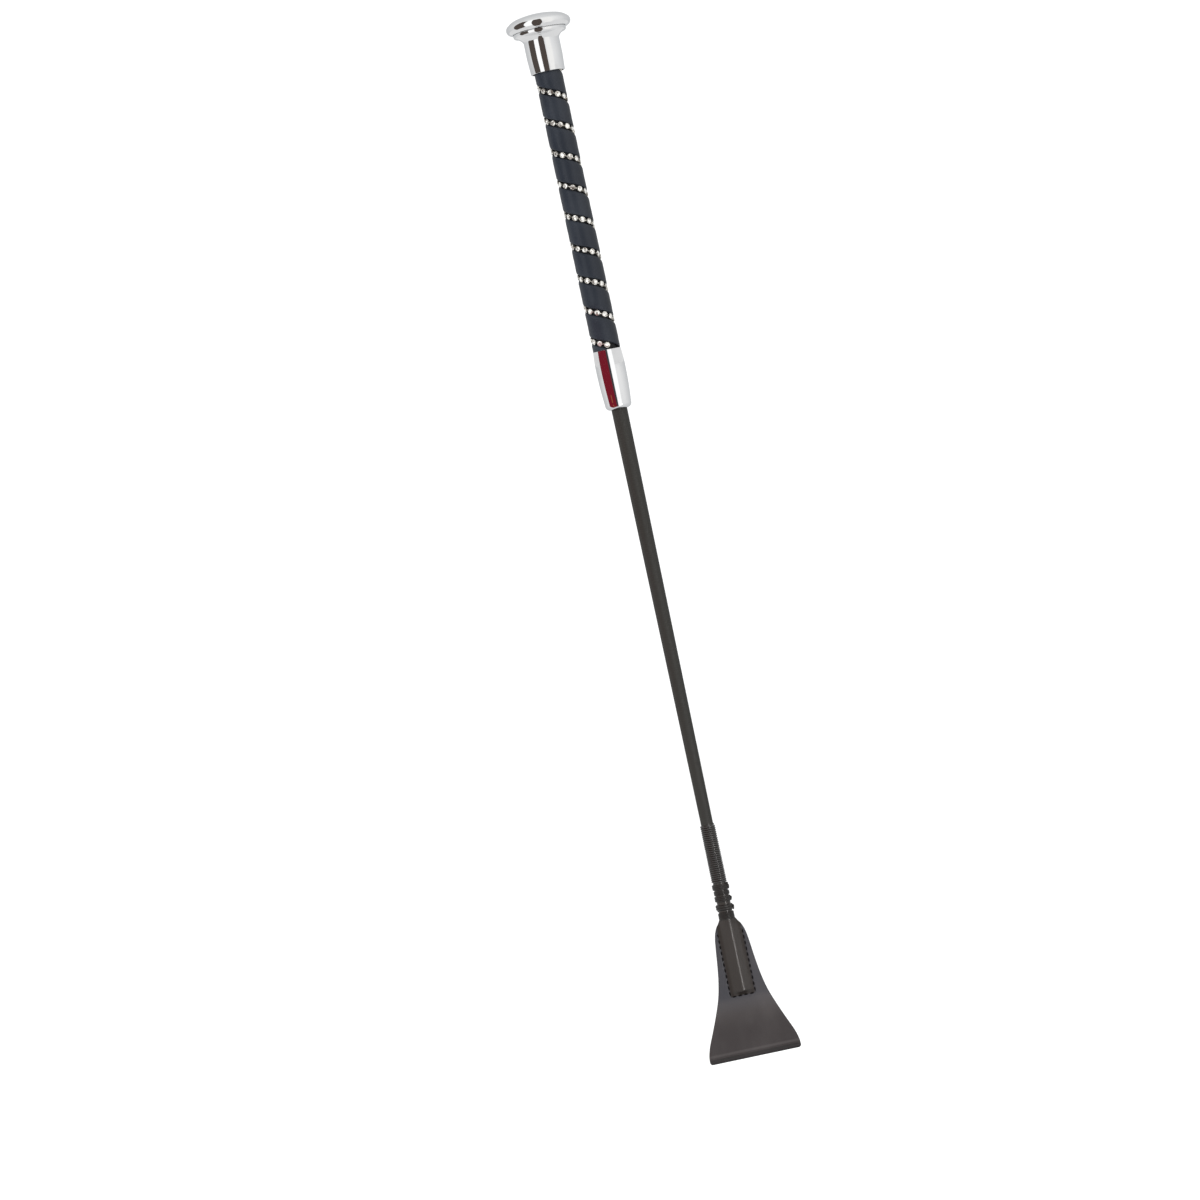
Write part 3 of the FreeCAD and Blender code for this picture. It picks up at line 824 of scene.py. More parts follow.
class Repeater(NodeMaker):
    """A Geometry Nodes tree that ends in Realize Instances and Set Material."""

    def __init__(self, name: str, inputs: dict[str, str]) -> None:
        """Starts the tree.

        Args:
            name: The tree's name.
            inputs: Its named inputs and their socket types.
        """
        super().__init__(bpy.data.node_groups.new(name, "GeometryNodeTree"))
        interface = self.tree.interface
        interface.new_socket("Geometry", in_out="INPUT", socket_type="NodeSocketGeometry")
        interface.new_socket("Geometry", in_out="OUTPUT", socket_type="NodeSocketGeometry")
        self.keys = {}
        for label, kind in {**inputs, "Finish": "NodeSocketMaterial"}.items():
            item = interface.new_socket(label, in_out="INPUT", socket_type=kind)
            self.keys[label] = item.identifier
        self.entry = self.node("NodeGroupInput")

    def given(self, label: str) -> Wave:
        """One of the tree's inputs, by its name."""
        return Wave(self, self.entry.outputs[label])

    def close(self, geometry: bpy.types.NodeSocket) -> None:
        """Realizes the instances and sets the material.

        Args:
            geometry: What the tree has made.
        """
        real = self.node("GeometryNodeRealizeInstances", None, {0: geometry})
        inputs = {"Geometry": real.outputs[0], "Material": self.given("Finish")}
        dressed = self.node("GeometryNodeSetMaterial", None, inputs)
        self.node("NodeGroupOutput", None, {0: dressed.outputs[0]})

    def run(self, name: str, values: dict[str, object], seeds: bpy.types.Mesh | None = None,
            sharp: float = 35.0) -> bpy.types.Object:
        """Runs the tree once and keeps its result as a plain mesh.

        Args:
            name: The piece's name.
            values: A value for each of the tree's inputs.
            seeds: The mesh that the tree starts from, if it needs one.
            sharp: The angle, in degrees, past which an edge stays sharp.

        Returns:
            The piece, at the origin and without modifiers.
        """
        piece = bpy.data.objects.new(name, seeds or bpy.data.meshes.new(name))
        bpy.context.scene.collection.objects.link(piece)
        modifier = piece.modifiers.new("repeat", "NODES")
        modifier.node_group = self.tree
        for label, value in values.items():
            modifier[self.keys[label]] = value
        piece.update_tag()
        graph = bpy.context.evaluated_depsgraph_get()
        mesh = bpy.data.meshes.new_from_object(piece.evaluated_get(graph))
        piece.modifiers.clear()
        piece.data = mesh
        mesh.name = name
        work = bmesh.new()
        work.from_mesh(mesh)
        bmesh.ops.recalc_face_normals(work, faces=work.faces)
        work.to_mesh(mesh)
        work.free()
        mesh.shade_smooth()
        mesh.set_sharp_from_angle(angle=math.radians(sharp))
        return piece


def helix_row_tree() -> Repeater:
    """A tree that repeats a template down a helix.

    Returns:
        The tree.
    """
    tree = Repeater("helix_row", {
        "Template": "NodeSocketObject", "Count": "NodeSocketInt", "First Height": "NodeSocketFloat",
        "Step Drop": "NodeSocketFloat", "First Turn": "NodeSocketFloat",
        "Step Turn": "NodeSocketFloat", "Unevenness": "NodeSocketFloat", "Seed": "NodeSocketInt"})
    number = tree.wave("GeometryNodeInputIndex", 0)
    row = tree.node("GeometryNodeMeshLine", {"mode": "OFFSET"}, {"Count": tree.given("Count")})
    height = tree.given("First Height") - number * tree.given("Step Drop")
    stray = tree.wave("FunctionNodeRandomValue", "Value", {"data_type": "FLOAT"}, {
        2: tree.given("Unevenness") * -1.0, 3: tree.given("Unevenness"), "ID": number,
        "Seed": tree.given("Seed")})
    spot = tree.node("ShaderNodeCombineXYZ", None, {2: height})
    placed = tree.node("GeometryNodeSetPosition", None,
                       {"Geometry": row.outputs[0], "Position": spot.outputs[0]})
    turn = tree.given("First Turn") + number * tree.given("Step Turn") + stray
    facing = tree.node("ShaderNodeCombineXYZ", None, {2: turn})
    lie = tree.node("FunctionNodeEulerToRotation", None, {0: facing.outputs[0]})
    template = tree.node("GeometryNodeObjectInfo", None, {"Object": tree.given("Template")})
    copies = tree.node("GeometryNodeInstanceOnPoints", None, {
        "Points": placed.outputs[0], "Instance": template.outputs["Geometry"],
        "Rotation": lie.outputs[0]})
    tree.close(copies.outputs[0])
    return tree


def coil_tree() -> Repeater:
    """A tree that winds a thread round the crop's axis.

    Returns:
        The tree.
    """
    tree = Repeater("thread_coil", {
        "Turns": "NodeSocketFloat", "Foot Height": "NodeSocketFloat", "Length": "NodeSocketFloat",
        "Foot Radius": "NodeSocketFloat", "Top Radius": "NodeSocketFloat",
        "Thread Radius": "NodeSocketFloat", "Turn Steps": "NodeSocketInt",
        "Sides": "NodeSocketInt", "Start Turn": "NodeSocketFloat",
        "Unevenness": "NodeSocketFloat"})
    coil = tree.node("GeometryNodeCurveSpiral", None, {
        "Resolution": tree.given("Turn Steps"), "Rotations": tree.given("Turns"),
        "Start Radius": tree.given("Foot Radius"), "End Radius": tree.given("Top Radius"),
        "Height": tree.given("Length")})
    lift = tree.node("ShaderNodeCombineXYZ", None, {2: tree.given("Foot Height")})
    facing = tree.node("ShaderNodeCombineXYZ", None, {2: tree.given("Start Turn")})
    raised = tree.node("GeometryNodeTransform", None, {
        "Geometry": coil.outputs[0], "Translation": lift.outputs[0],
        "Rotation": tree.node("FunctionNodeEulerToRotation", None,
                              {0: facing.outputs[0]}).outputs[0]})
    wander = tree.node("ShaderNodeTexNoise", None, {"Scale": 420.0, "Detail": 1.0})
    shift = tree.node("ShaderNodeVectorMath", {"operation": "SUBTRACT"},
                      {0: wander.outputs["Color"], 1: (0.5, 0.5, 0.5)})
    scaled = tree.node("ShaderNodeVectorMath", {"operation": "SCALE"},
                       {0: shift.outputs[0], "Scale": tree.given("Unevenness")})
    uneven = tree.node("GeometryNodeSetPosition", None,
                       {"Geometry": raised.outputs[0], "Offset": scaled.outputs[0]})
    round_thread = tree.node("GeometryNodeCurvePrimitiveCircle", None, {
        "Resolution": tree.given("Sides"), "Radius": tree.given("Thread Radius")})
    thread = tree.node("GeometryNodeCurveToMesh", None, {
        "Curve": uneven.outputs[0], "Profile Curve": round_thread.outputs[0], "Fill Caps": True})
    tree.close(thread.outputs[0])
    return tree


def seam_tree() -> Repeater:
    """A tree that sets a stitch on each point of a mesh, turned by the point's own lie.

    Returns:
        The tree.
    """
    tree = Repeater("seam", {"Template": "NodeSocketObject", "Unevenness": "NodeSocketFloat",
                             "Seed": "NodeSocketInt"})
    lie = tree.node("GeometryNodeInputNamedAttribute", {"data_type": "FLOAT_VECTOR"},
                    {"Name": "lie"})
    reach = tree.node("ShaderNodeCombineXYZ", None, {1: tree.given("Unevenness")})
    back = tree.node("ShaderNodeCombineXYZ", None, {1: tree.given("Unevenness") * -1.0})
    stray = tree.node("FunctionNodeRandomValue", {"data_type": "FLOAT_VECTOR"}, {
        0: back.outputs[0], 1: reach.outputs[0], "Seed": tree.given("Seed")})
    turn = tree.node("ShaderNodeVectorMath", {"operation": "ADD"},
                     {0: lie.outputs[0], 1: stray.outputs[0]})
    facing = tree.node("FunctionNodeEulerToRotation", None, {0: turn.outputs[0]})
    template = tree.node("GeometryNodeObjectInfo", None, {"Object": tree.given("Template")})
    copies = tree.node("GeometryNodeInstanceOnPoints", None, {
        "Points": tree.entry.outputs["Geometry"], "Instance": template.outputs["Geometry"],
        "Rotation": facing.outputs[0]})
    tree.close(copies.outputs[0])
    return tree


# ------------------------------------------------------------------ knob and ferrule

@dataclass
class Knob:
    """The domed shell and the collar shell that it is pressed over."""

    levels: Levels
    crown_radius: float = 13.15
    crown_drop: float = 1.6
    shoulder_round: float = 12.0
    shoulder_depth: float = 4.3
    edge_radius: float = 18.45
    edge_bulge: float = 1.72
    inner_bulge: float = 1.39
    lip_radius: float = 18.05
    lip_bore: float = 16.35
    dome_depth: float = 10.2
    wall: float = 1.0
    plug_radius: float = 13.2
    flange_radius: float = 16.95
    flange_depth: float = 8.05
    flange_wall: float = 1.1
    ring_top: Point = (16.15, -10.25)
    ring_foot: Point = (15.65, -12.9)
    ring_round: float = 2.2
    cove_round: float = 6.0
    neck_depth: float = 16.4
    neck_wall: float = 0.75
    collar_radius: float = 11.05
    collar_length: float = 20.0
    collar_straight: float = 10.0
    rim_radius: float = 10.5
    bore: float = 9.75

    def build(self, finishes: Finishes) -> None:
        """Makes both shells.

        Args:
            finishes: The crop's finishes.
        """
        for name, outline in (("knob_dome_shell", self.dome()), ("knob_collar_shell", self.collar())):
            lifted = [(radius, self.levels.knob_top + height) for radius, height in outline]
            piece = turned(name, lifted, 192)
            dress(piece, finishes.knob)
            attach(piece, Part.HANDLE.value)
            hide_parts(name.removesuffix("_shell"))
            report(piece)

    def dome(self) -> list[Point]:
        """The dome's outline, down from its top.

        Returns:
            Its corners as (radius, height below the knob's top).
        """
        crown_round = (self.crown_radius ** 2 + self.crown_drop ** 2) / (2 * self.crown_drop)
        crown = (self.crown_radius, -self.crown_drop)
        edge = (self.edge_radius, -self.shoulder_depth)
        lip = (self.lip_radius, -self.dome_depth + 0.12)
        slant = self.wall / math.sqrt(2)
        inner_foot = (self.lip_radius - slant, -self.dome_depth + self.wall)
        inner_edge = (self.edge_radius - slant, -self.shoulder_depth - slant)
        outline = [(0.0, 0.0)]
        outline += arc((0.0, 0.0), crown, crown_round, Bulge.LEFT, 20)
        outline += arc(crown, edge, self.shoulder_round, Bulge.LEFT, 14)
        outline += bowed(edge, lip, self.edge_bulge, Bulge.LEFT, 22)
        outline += [(self.lip_radius - 0.14, -self.dome_depth), (self.lip_bore, -self.dome_depth)]
        outline += [(self.lip_bore, inner_foot[1]), inner_foot]
        outline += bowed(inner_foot, inner_edge, self.inner_bulge, Bulge.RIGHT)
        inner_crown = (self.crown_radius, -self.crown_drop - self.wall)
        outline += arc(inner_edge, inner_crown, self.shoulder_round - self.wall, Bulge.RIGHT)
        outline += arc(inner_crown, (0.0, -self.wall), crown_round, Bulge.RIGHT)
        return outline

    def collar(self) -> list[Point]:
        """The collar's outline, from its flange down its outside.

        Returns:
            Its corners as (radius, height below the knob's top).
        """
        foot = -self.neck_depth - self.collar_length
        flange_foot = -self.flange_depth - self.flange_wall
        neck = (self.collar_radius, -self.neck_depth)
        outline = [(self.plug_radius, -self.flange_depth), (self.flange_radius, -self.flange_depth),
                   (self.flange_radius, flange_foot), (self.ring_top[0], flange_foot), self.ring_top]
        outline += arc(self.ring_top, self.ring_foot, self.ring_round, Bulge.LEFT, 16)
        outline += arc(self.ring_foot, neck, self.cove_round, Bulge.RIGHT, 20)
        outline += [(self.collar_radius, -self.neck_depth - self.collar_straight)]
        outline += [(self.rim_radius + 0.02, foot + 0.22), (self.rim_radius - 0.07, foot + 0.06),
                    (self.rim_radius - 0.2, foot), (self.bore + 0.1, foot), (self.bore, foot + 0.1)]
        outline += [(self.bore, -self.neck_depth - self.neck_wall),
                    (self.plug_radius, self.ring_foot[1])]
        return outline


@dataclass
class Ferrule:
    """The bulged polished ferrule under the grip."""

    levels: Levels
    top_radius: float = 8.65
    belly_radius: float = 9.14
    belly_depth: float = 11.0
    belly_round: float = 123.7
    knee_round: float = 237.5
    knee_radius: float = 8.1
    knee_depth: float = 33.2
    mouth_radius: float = 5.68
    mouth_bulge: float = 0.84
    length: float = 36.6
    wall: float = 0.9
    floor: float = 2.0
    shaft_bore: float = 4.93

    def build(self, finishes: Finishes) -> None:
        """Makes the shell.

        Args:
            finishes: The crop's finishes.
        """
        lifted = [(radius, self.levels.ferrule_top + height) for radius, height in self.outline()]
        piece = turned("ferrule_shell", lifted, 192)
        dress(piece, finishes.ferrule)
        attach(piece, Part.HANDLE.value)
        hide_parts("grip_ferrule")
        report(piece)

    def outline(self) -> list[Point]:
        """The shell's outline, down its outside and back up its bore.

        Returns:
            Its corners as (radius, height below the ferrule's top).
        """
        top = (self.top_radius, -0.12)
        belly = (self.belly_radius, -self.belly_depth)
        knee = (self.knee_radius, -self.knee_depth)
        mouth = (self.mouth_radius, -self.length)
        bore = self.top_radius - self.wall
        outline = [(bore, 0.0), (self.top_radius - 0.14, 0.0), top]
        outline += arc(top, belly, self.belly_round, Bulge.LEFT, 14)
        outline += arc(belly, knee, self.knee_round, Bulge.LEFT, 18)
        outline += bowed(knee, mouth, self.mouth_bulge, Bulge.LEFT, 18)
        seat = -self.length + self.floor
        outline += [(self.shaft_bore, -self.length), (self.shaft_bore, seat),
                    (bore - self.wall, seat), (bore, -self.knee_depth + self.floor)]
        return outline


# ------------------------------------------------------------------ grip and stone chain

@dataclass(frozen=True)
class Winding:
    """The left-handed helix, in mm, that the leather strip and the stone chain share."""

    lead: float = 19.56
    chain_drop: float = 13.5
    tuck: float = 4.0


@dataclass
class Grip:
    """The leather strip wound round the handle and the wrap that shows under the chain."""

    levels: Levels
    winding: Winding = Winding()
    chain_gap: float = 4.3
    outer_radius: float = 8.55
    inner_radius: float = 6.72
    wrap_radius: float = 6.58
    wrap_bore: float = 5.3
    wrap_tucks: Point = (5.9, 8.0)
    steps_a_turn: int = 72
    upper_round: Point = (2.3, 1.45)
    lower_round: Point = (1.0, 1.0)

    def build(self, finishes: Finishes) -> None:
        """Makes the strip and the wrap.

        Args:
            finishes: The crop's finishes.
        """
        strip = self.strip()
        dress(strip, finishes.grip)
        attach(strip, Part.HANDLE.value)
        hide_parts("grip_leather")
        report(strip)
        wrap = self.wrap()
        dress(wrap, finishes.underwrap)
        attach(wrap, Part.HANDLE.value)
        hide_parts("grip_padding")
        report(wrap)

    def section(self) -> list[Point]:
        """The strip's section, with a fuller round along its upper edge.

        Returns:
            Its corners as (radius, height above the strip's middle).
        """
        half = (self.winding.lead - self.chain_gap) / 2
        body = self.outer_radius
        corners = [(self.inner_radius, -half)]
        reach, drop = self.lower_round
        for number in range(7):
            angle = math.pi / 2 * number / 6
            corners.append((body - drop + drop * math.sin(angle), -half + reach * (1 - math.cos(angle))))
        corners += [(body, share * half) for share in (-0.6, -0.3, 0.0, 0.3)]
        reach, drop = self.upper_round
        for number in range(9):
            angle = math.pi / 2 * (1 - number / 8)
            corners.append((body - drop + drop * math.sin(angle), half - reach * (1 - math.cos(angle))))
        corners += [(self.inner_radius, half)]
        return corners

    def strip(self) -> bpy.types.Object:
        """Winds the section left-handed and cuts both ends level.

        Returns:
            The strip.
        """
        lead = self.winding.lead
        top, foot = self.levels.rim + self.winding.tuck, self.levels.ferrule_top
        crossing = self.levels.rim - self.winding.chain_drop + lead / 2
        section = self.section()
        first = FRONT - 360 * (top + lead - crossing) / lead
        last = FRONT + 360 * (crossing - foot + lead) / lead
        count = int((last - first) / 360 * self.steps_a_turn)
        rows = np.empty((count + 1, len(section), 3))
        for row in range(count + 1):
            degrees = first + (last - first) * row / count
            angle = math.radians(degrees)
            middle = crossing - lead * (degrees - FRONT) / 360
            for column, (radius, up) in enumerate(section):
                height = middle + up
                swell = 0.035 * math.sin(0.9 * angle + 0.5 * up) + 0.025 * math.sin(2.3 * angle - up)
                soft = radius - 0.06 + (swell if radius > self.inner_radius else 0.06)
                rows[row, column] = (soft * math.cos(angle), soft * math.sin(angle), height)
        mesh = bpy.data.meshes.new("grip_strip")
        mesh.from_pydata((rows.reshape(-1, 3) * MM).tolist(), [], ring_grid(rows))
        work = bmesh.new()
        work.from_mesh(mesh)
        for level, up in ((top, 1.0), (foot + 0.02, -1.0)):
            bmesh.ops.bisect_plane(
                work, geom=[*work.verts, *work.edges, *work.faces], dist=1e-7,
                plane_co=(0.0, 0.0, level * MM), plane_no=(0.0, 0.0, up), clear_outer=True)
        work.to_mesh(mesh)
        work.free()
        strip = bpy.data.objects.new("grip_strip", mesh)
        bpy.context.scene.collection.objects.link(strip)
        tidy(mesh, 50.0)
        return strip

    def wrap(self) -> bpy.types.Object:
        """Turns the dark wrap under the strip and the chain, with a faint ripple.

        Returns:
            The wrap.
        """
        top, foot = self.levels.rim + self.wrap_tucks[0], self.levels.ferrule_top - self.wrap_tucks[1]
        heights = np.linspace(foot, top, 120)
        outside = [(self.wrap_radius + 0.05 * math.sin(height * 0.9), float(height))
                   for height in heights]
        return turned("grip_underwrap", [(self.wrap_bore, foot), *outside, (self.wrap_bore, top)], 72)


# A claw's faces by the numbers of its ten corners: six up its outside, four down its inside.
CLAW_FACES = ((0, 1, 3, 2), (2, 3, 5, 4), (4, 5, 9, 8), (8, 9, 7, 6), (6, 7, 1, 0),
              (0, 2, 4, 8, 6), (1, 7, 9, 5, 3))


@dataclass
class StoneChain:
    """Cups, cut stones and links, wound left-handed in the gap between the leather's turns."""

    levels: Levels
    winding: Winding = Winding()
    seat: float = 6.75
    spacing: float = 4.4
    cup_radius: float = 1.75
    cup_height: float = 1.45
    stone_radius: float = 1.5
    table_radius: float = 0.82
    unevenness: float = 0.012

    def build(self, finishes: Finishes) -> None:
        """Makes the cups, the stones and the links, each as one piece.

        Args:
            finishes: The crop's finishes.
        """
        tree = helix_row_tree()
        lead = self.winding.lead
        along = self.spacing / math.hypot(self.seat + self.cup_height / 2, lead / (2 * math.pi))
        drop = lead * along / (2 * math.pi)
        top = self.levels.rim + self.winding.tuck - self.cup_radius
        foot = self.levels.ferrule_top + self.cup_radius + 0.05
        count = int((top - foot) / drop) + 1
        crossing = self.levels.rim - self.winding.chain_drop
        first_turn = math.radians(FRONT + 360 * (crossing - top) / lead)
        rows = (
            ("chain_cup_row", self.cup(), finishes.chain, "chain_metal", "chain_cups", count, 0.5, 30.0),
            ("chain_stone_row", self.stone(), finishes.stone, "chain_stone", "chain_stones", count,
             0.5, 3.0),
            ("chain_link_row", self.link(along, drop), finishes.chain, "chain_metal", "chain_links",
             count - 1, 0.0, 30.0))
        for name, template, material, slot, node, number, share, sharp in rows:
            piece = tree.run(name, {
                "Template": template, "Count": number, "First Height": top * MM,
                "Step Drop": drop * MM, "First Turn": first_turn, "Step Turn": along,
                "Unevenness": self.unevenness * share, "Seed": 7, "Finish": material}, None, sharp)
            bpy.data.objects.remove(template)
            dress(piece, material)
            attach(piece, Part.HANDLE.value)
            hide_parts(node)
            report(piece)

    def cup(self) -> bpy.types.Object:
        """One cup with four claws folded over its stone's edge.

        Returns:
            The cup, which looks along X.
        """
        rim, seat = self.cup_height - 0.12, self.seat
        outline = [(seat, 0.02), (seat, self.cup_radius - 0.1), (seat + 0.12, self.cup_radius),
                   (seat + rim, self.cup_radius), (seat + rim, self.cup_radius - 0.2),
                   (seat + 0.6, self.stone_radius - 0.1), (seat + 0.55, 0.02)]
        corners, faces = spun_about_x(outline, 12)
        for number in range(4):
            middle = math.pi / 4 + number * math.pi / 2
            first = len(corners)
            for out, radius, half in ((rim - 0.25, self.cup_radius + 0.01, 0.2),
                                      (rim + 0.22, self.cup_radius - 0.06, 0.17),
                                      (rim + 0.3, self.stone_radius - 0.35, 0.1)):
                for side in (-1, 1):
                    angle = middle + side * half
                    corners.append((seat + out, radius * math.cos(angle), radius * math.sin(angle)))
            inner = [(seat + rim - 0.25, self.cup_radius - 0.15), (seat + rim + 0.02, self.stone_radius)]
            for out, radius in inner:
                for side in (-1, 1):
                    angle = middle + side * 0.14
                    corners.append((out, radius * math.cos(angle), radius * math.sin(angle)))
            faces += [tuple(first + corner for corner in face) for face in CLAW_FACES]
        return mesh_piece("cup_template", np.array(corners), faces)

    def stone(self) -> bpy.types.Object:
        """One round stone: a flat table, two rings of crown facets and a pointed back.

        Returns:
            The stone, which looks along X.
        """
        girdle = self.seat + self.cup_height + 0.02
        outline = [(self.seat + 0.62, 0.05), (girdle - 0.1, self.stone_radius), (girdle, self.stone_radius),
                   (girdle + 0.16, self.stone_radius - 0.36), (girdle + 0.3, self.table_radius)]
        corners, faces = spun_about_x(outline, 8, 0.5)
        return mesh_piece("stone_template", np.array(corners), faces, None, 3.0)

    def link(self, along: float, drop: float) -> bpy.types.Object:
        """One waisted link between two cups.

        Args:
            along: The turn from one cup to the next, in radians.
            drop: The fall from one cup to the next, in mm.

        Returns:
            The link, placed between the first cup and the next.
        """
        middle = self.seat + 0.45
        here = Vector((middle, 0.0, 0.0))
        there = Matrix.Rotation(along, 3, "Z") @ here + Vector((0.0, 0.0, -drop))
        run = (there - here).normalized()
        out = ((here + there) / 2).normalized()
        side = run.cross(out).normalized()
        shares = ((0.36, 0.58), (0.44, 0.36), (0.5, 0.3), (0.56, 0.36), (0.64, 0.58))
        rows = []
        for share, half in shares:
            centre = here.lerp(there, share)
            rows.append([tuple(centre + side * half * a + out * 0.24 * b)
                         for a, b in ((-1, -1), (1, -1), (1, 0.6), (0.6, 1), (-0.6, 1), (-1, 0.6))])
        grid = np.array(rows)
        return mesh_piece("link_template", grid.reshape(-1, 3), ring_grid(grid))


# ------------------------------------------------------------------ shaft, whipping, bindings

@dataclass
class Shaft:
    """The rod and its cover, each in one length, with close rings about the shaft's flex point."""

    levels: Levels
    rod_radius: float = 3.6
    rod_tip_radius: float = 2.3
    cover_radius: float = 4.88
    cover_end_radius: float = 3.6
    cover_tuck: float = 18.0
    glue_gap: float = 0.05
    cap_floor: float = 1.25
    bend_half: float = 44.0

    def build(self, finishes: Finishes) -> None:
        """Makes the cover and the rod.

        Args:
            finishes: The crop's finishes.
        """
        levels = self.levels
        end = levels.whip_end + self.glue_gap
        rod_foot = levels.rod_end + self.cap_floor
        bends = np.linspace(levels.flex + self.bend_half, levels.flex - self.bend_half, 45)
        cover_heights = [levels.mouth + self.cover_tuck, levels.mouth, *bends,
                         *np.linspace(levels.flex - 50, end, 60)]
        rod_heights = [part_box("rod_upper")[1].z / MM, levels.mouth, *bends,
                       *np.linspace(levels.flex - 50, rod_foot, 30)]
        outside = [(self.cover_at(height), height) for height in cover_heights]
        inside = [(self.rod_at(height) + self.glue_gap, height) for height in reversed(cover_heights)]
        cover = turned("shaft_cover_tube", outside + inside, 64)
        rod = turned("shaft_rod", [(0.0, rod_heights[0])] + [
            (self.rod_at(height), height) for height in rod_heights] + [(0.0, rod_foot)]
            + [(0.0, height) for height in bends[::-1]], 24)
        dress(cover, finishes.cover)
        dress(rod, finishes.fibreglass)
        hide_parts("shaft_cover_upper", "shaft_cover_lower")
        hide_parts("rod_upper", "rod_lower")
        for piece in (cover, rod):
            (levels.flex + self.bend_half) * MM
            (levels.flex - self.bend_half) * MM
            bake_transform(piece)
            report(piece)

    def rod_at(self, height: float) -> float:
        """The rod's radius at a height, in mm.

        Args:
            height: Where to look.

        Returns:
            The radius.
        """
        levels = self.levels
        share = (levels.mouth - height) / (levels.mouth - levels.rod_end - self.cap_floor)
        return self.rod_radius + (self.rod_tip_radius - self.rod_radius) * max(0.0, share)

    def cover_at(self, height: float) -> float:
        """The cover's radius at a height, in mm.

        Args:
            height: Where to look.

        Returns:
            The radius.
        """
        levels = self.levels
        share = (levels.mouth - height) / (levels.mouth - levels.whip_end)
        return self.cover_radius + (self.cover_end_radius - self.cover_radius) * max(0.0, share)


@dataclass
class Whipping:
    """The waxed thread wound over the end of the shaft's cover."""

    levels: Levels
    turns: int = 28
    thread_radius: float = 0.62
    outer_radius: float = 4.76
    bed_bore: float = 3.95
    thread_sink: float = 0.35

    def build(self, finishes: Finishes, coils: Repeater) -> None:
        """Makes the thread's turns and the under layer that they lie on.

        Args:
            finishes: The crop's finishes.
            coils: The tree that winds a thread.
        """
        levels = self.levels
        bore = self.bed_bore
        bed = self.outer_radius - 2 * self.thread_radius + self.thread_sink
        top, foot = levels.whip_top - 0.6, levels.whip_end + 0.1
        base = turned("whipping_bed", [
            (bore, top), (bed - 0.35, top), (bed, top - 1.5), (bed, foot), (bore, foot)], 48)
        dress(base, finishes.whipping)
        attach(base, Part.SHAFT.value)
        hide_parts("whipping_thread")
        report(base)
        lay = self.outer_radius - self.thread_radius
        length = levels.whip_top - levels.whip_end - 2 * self.thread_radius
        thread = coils.run("whipping_coil", {
            "Turns": float(self.turns), "Foot Height": (levels.whip_end + self.thread_radius) * MM,
            "Length": length * MM, "Foot Radius": lay * MM, "Top Radius": (lay - 0.12) * MM,
            "Thread Radius": self.thread_radius * MM, "Turn Steps": 40, "Sides": 8,
            "Start Turn": 0.4, "Unevenness": 0.00014, "Finish": finishes.whipping}, None, 60.0)
        dress(thread, finishes.whipping)
        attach(thread, Part.SHAFT.value)
        report(thread)


@dataclass(frozen=True)
class Binding:
    """One band of turns over the popper's neck, in mm."""

    node: str
    turns: float
    thread_radius: float
    outer_radius: float
    knot: float | None = None


@dataclass
class Bindings:
    """The cords and thread turns over the popper's neck, with their knots."""

    levels: Levels
    bands: tuple[Binding, ...] = (
        Binding("binding_ring_upper", 3.0, 0.70, 5.15, -24.0),
        Binding("binding_turns", 4.0, 0.36, 4.85),
        Binding("binding_ring_middle", 3.0, 0.66, 5.10, -8.0),
        Binding("binding_ring_lower", 2.0, 1.05, 5.45, -14.0),
        Binding("neck_whipping", 6.0, 0.40, 4.98),
    )
    knot_sweep: float = 34.0
    knot_radius: float = 0.62
    knot_sides: int = 10
    knot_steps: int = 26

    def build(self, finishes: Finishes, coils: Repeater) -> None:
        """Makes each band and its knot.

        Args:
            finishes: The crop's finishes.
            coils: The tree that winds a thread.
        """
        for number, band in enumerate(self.bands):
            low, high = (corner.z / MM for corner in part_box(band.node))
            lay = (band.outer_radius - band.thread_radius) * MM
            length = high - low - 2 * band.thread_radius
            wound = coils.run(f"{band.node}_cord", {
                "Turns": band.turns, "Foot Height": (low + band.thread_radius) * MM,
                "Length": length * MM, "Foot Radius": lay, "Top Radius": lay,
                "Thread Radius": band.thread_radius * MM, "Turn Steps": 48, "Sides": 12,
                "Start Turn": 0.9 * number, "Unevenness": 0.00016, "Finish": finishes.cord},
                None, 60.0)
            dress(wound, finishes.cord)
            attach(wound, Part.SHAFT.value)
            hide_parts(band.node)
            report(wound)
            if band.knot is not None:
                knot = self.knot(band, (low + high) / 2, (high - low) / 2)
                dress(knot, finishes.cord)
                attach(knot, Part.SHAFT.value)
                report(knot)

    def knot(self, band: Binding, height: float, half: float) -> bpy.types.Object:
        """A half hitch that crosses its band and pulls down on it.

        Args:
            band: The band.
            height: The band's middle height.
            half: Half the band's length.

        Returns:
            The knot.
        """
        thick = min(self.knot_radius, band.thread_radius)
        sides = self.knot_sides
        rows = []
        for step in range(self.knot_steps + 1):
            share = step / self.knot_steps
            sweep = math.radians(band.knot + self.knot_sweep * (share - 0.5))
            up = height + (half - thick) * math.cos(math.pi * share) * math.cos(2 * math.pi * share)
            lay = band.outer_radius + 0.3 * math.sin(math.pi * share) - 0.35
            spine = Vector((lay * math.cos(sweep), lay * math.sin(sweep), up))
            out = Vector((math.cos(sweep), math.sin(sweep), 0.0))
            fat = thick * math.sin(math.pi * min(1.0, max(0.0, 0.1 + 0.8 * share))) ** 0.4
            rows.append([tuple(spine + out * fat * math.cos(2 * math.pi * side / sides)
                               + Vector((0.0, 0.0, 1.0)) * fat * math.sin(2 * math.pi * side / sides))
                         for side in range(sides)])
        grid = np.array(rows)
        return mesh_piece(f"{band.node}_knot", grid.reshape(-1, 3), ring_grid(grid), None, 60.0)


# ------------------------------------------------------------------ popper

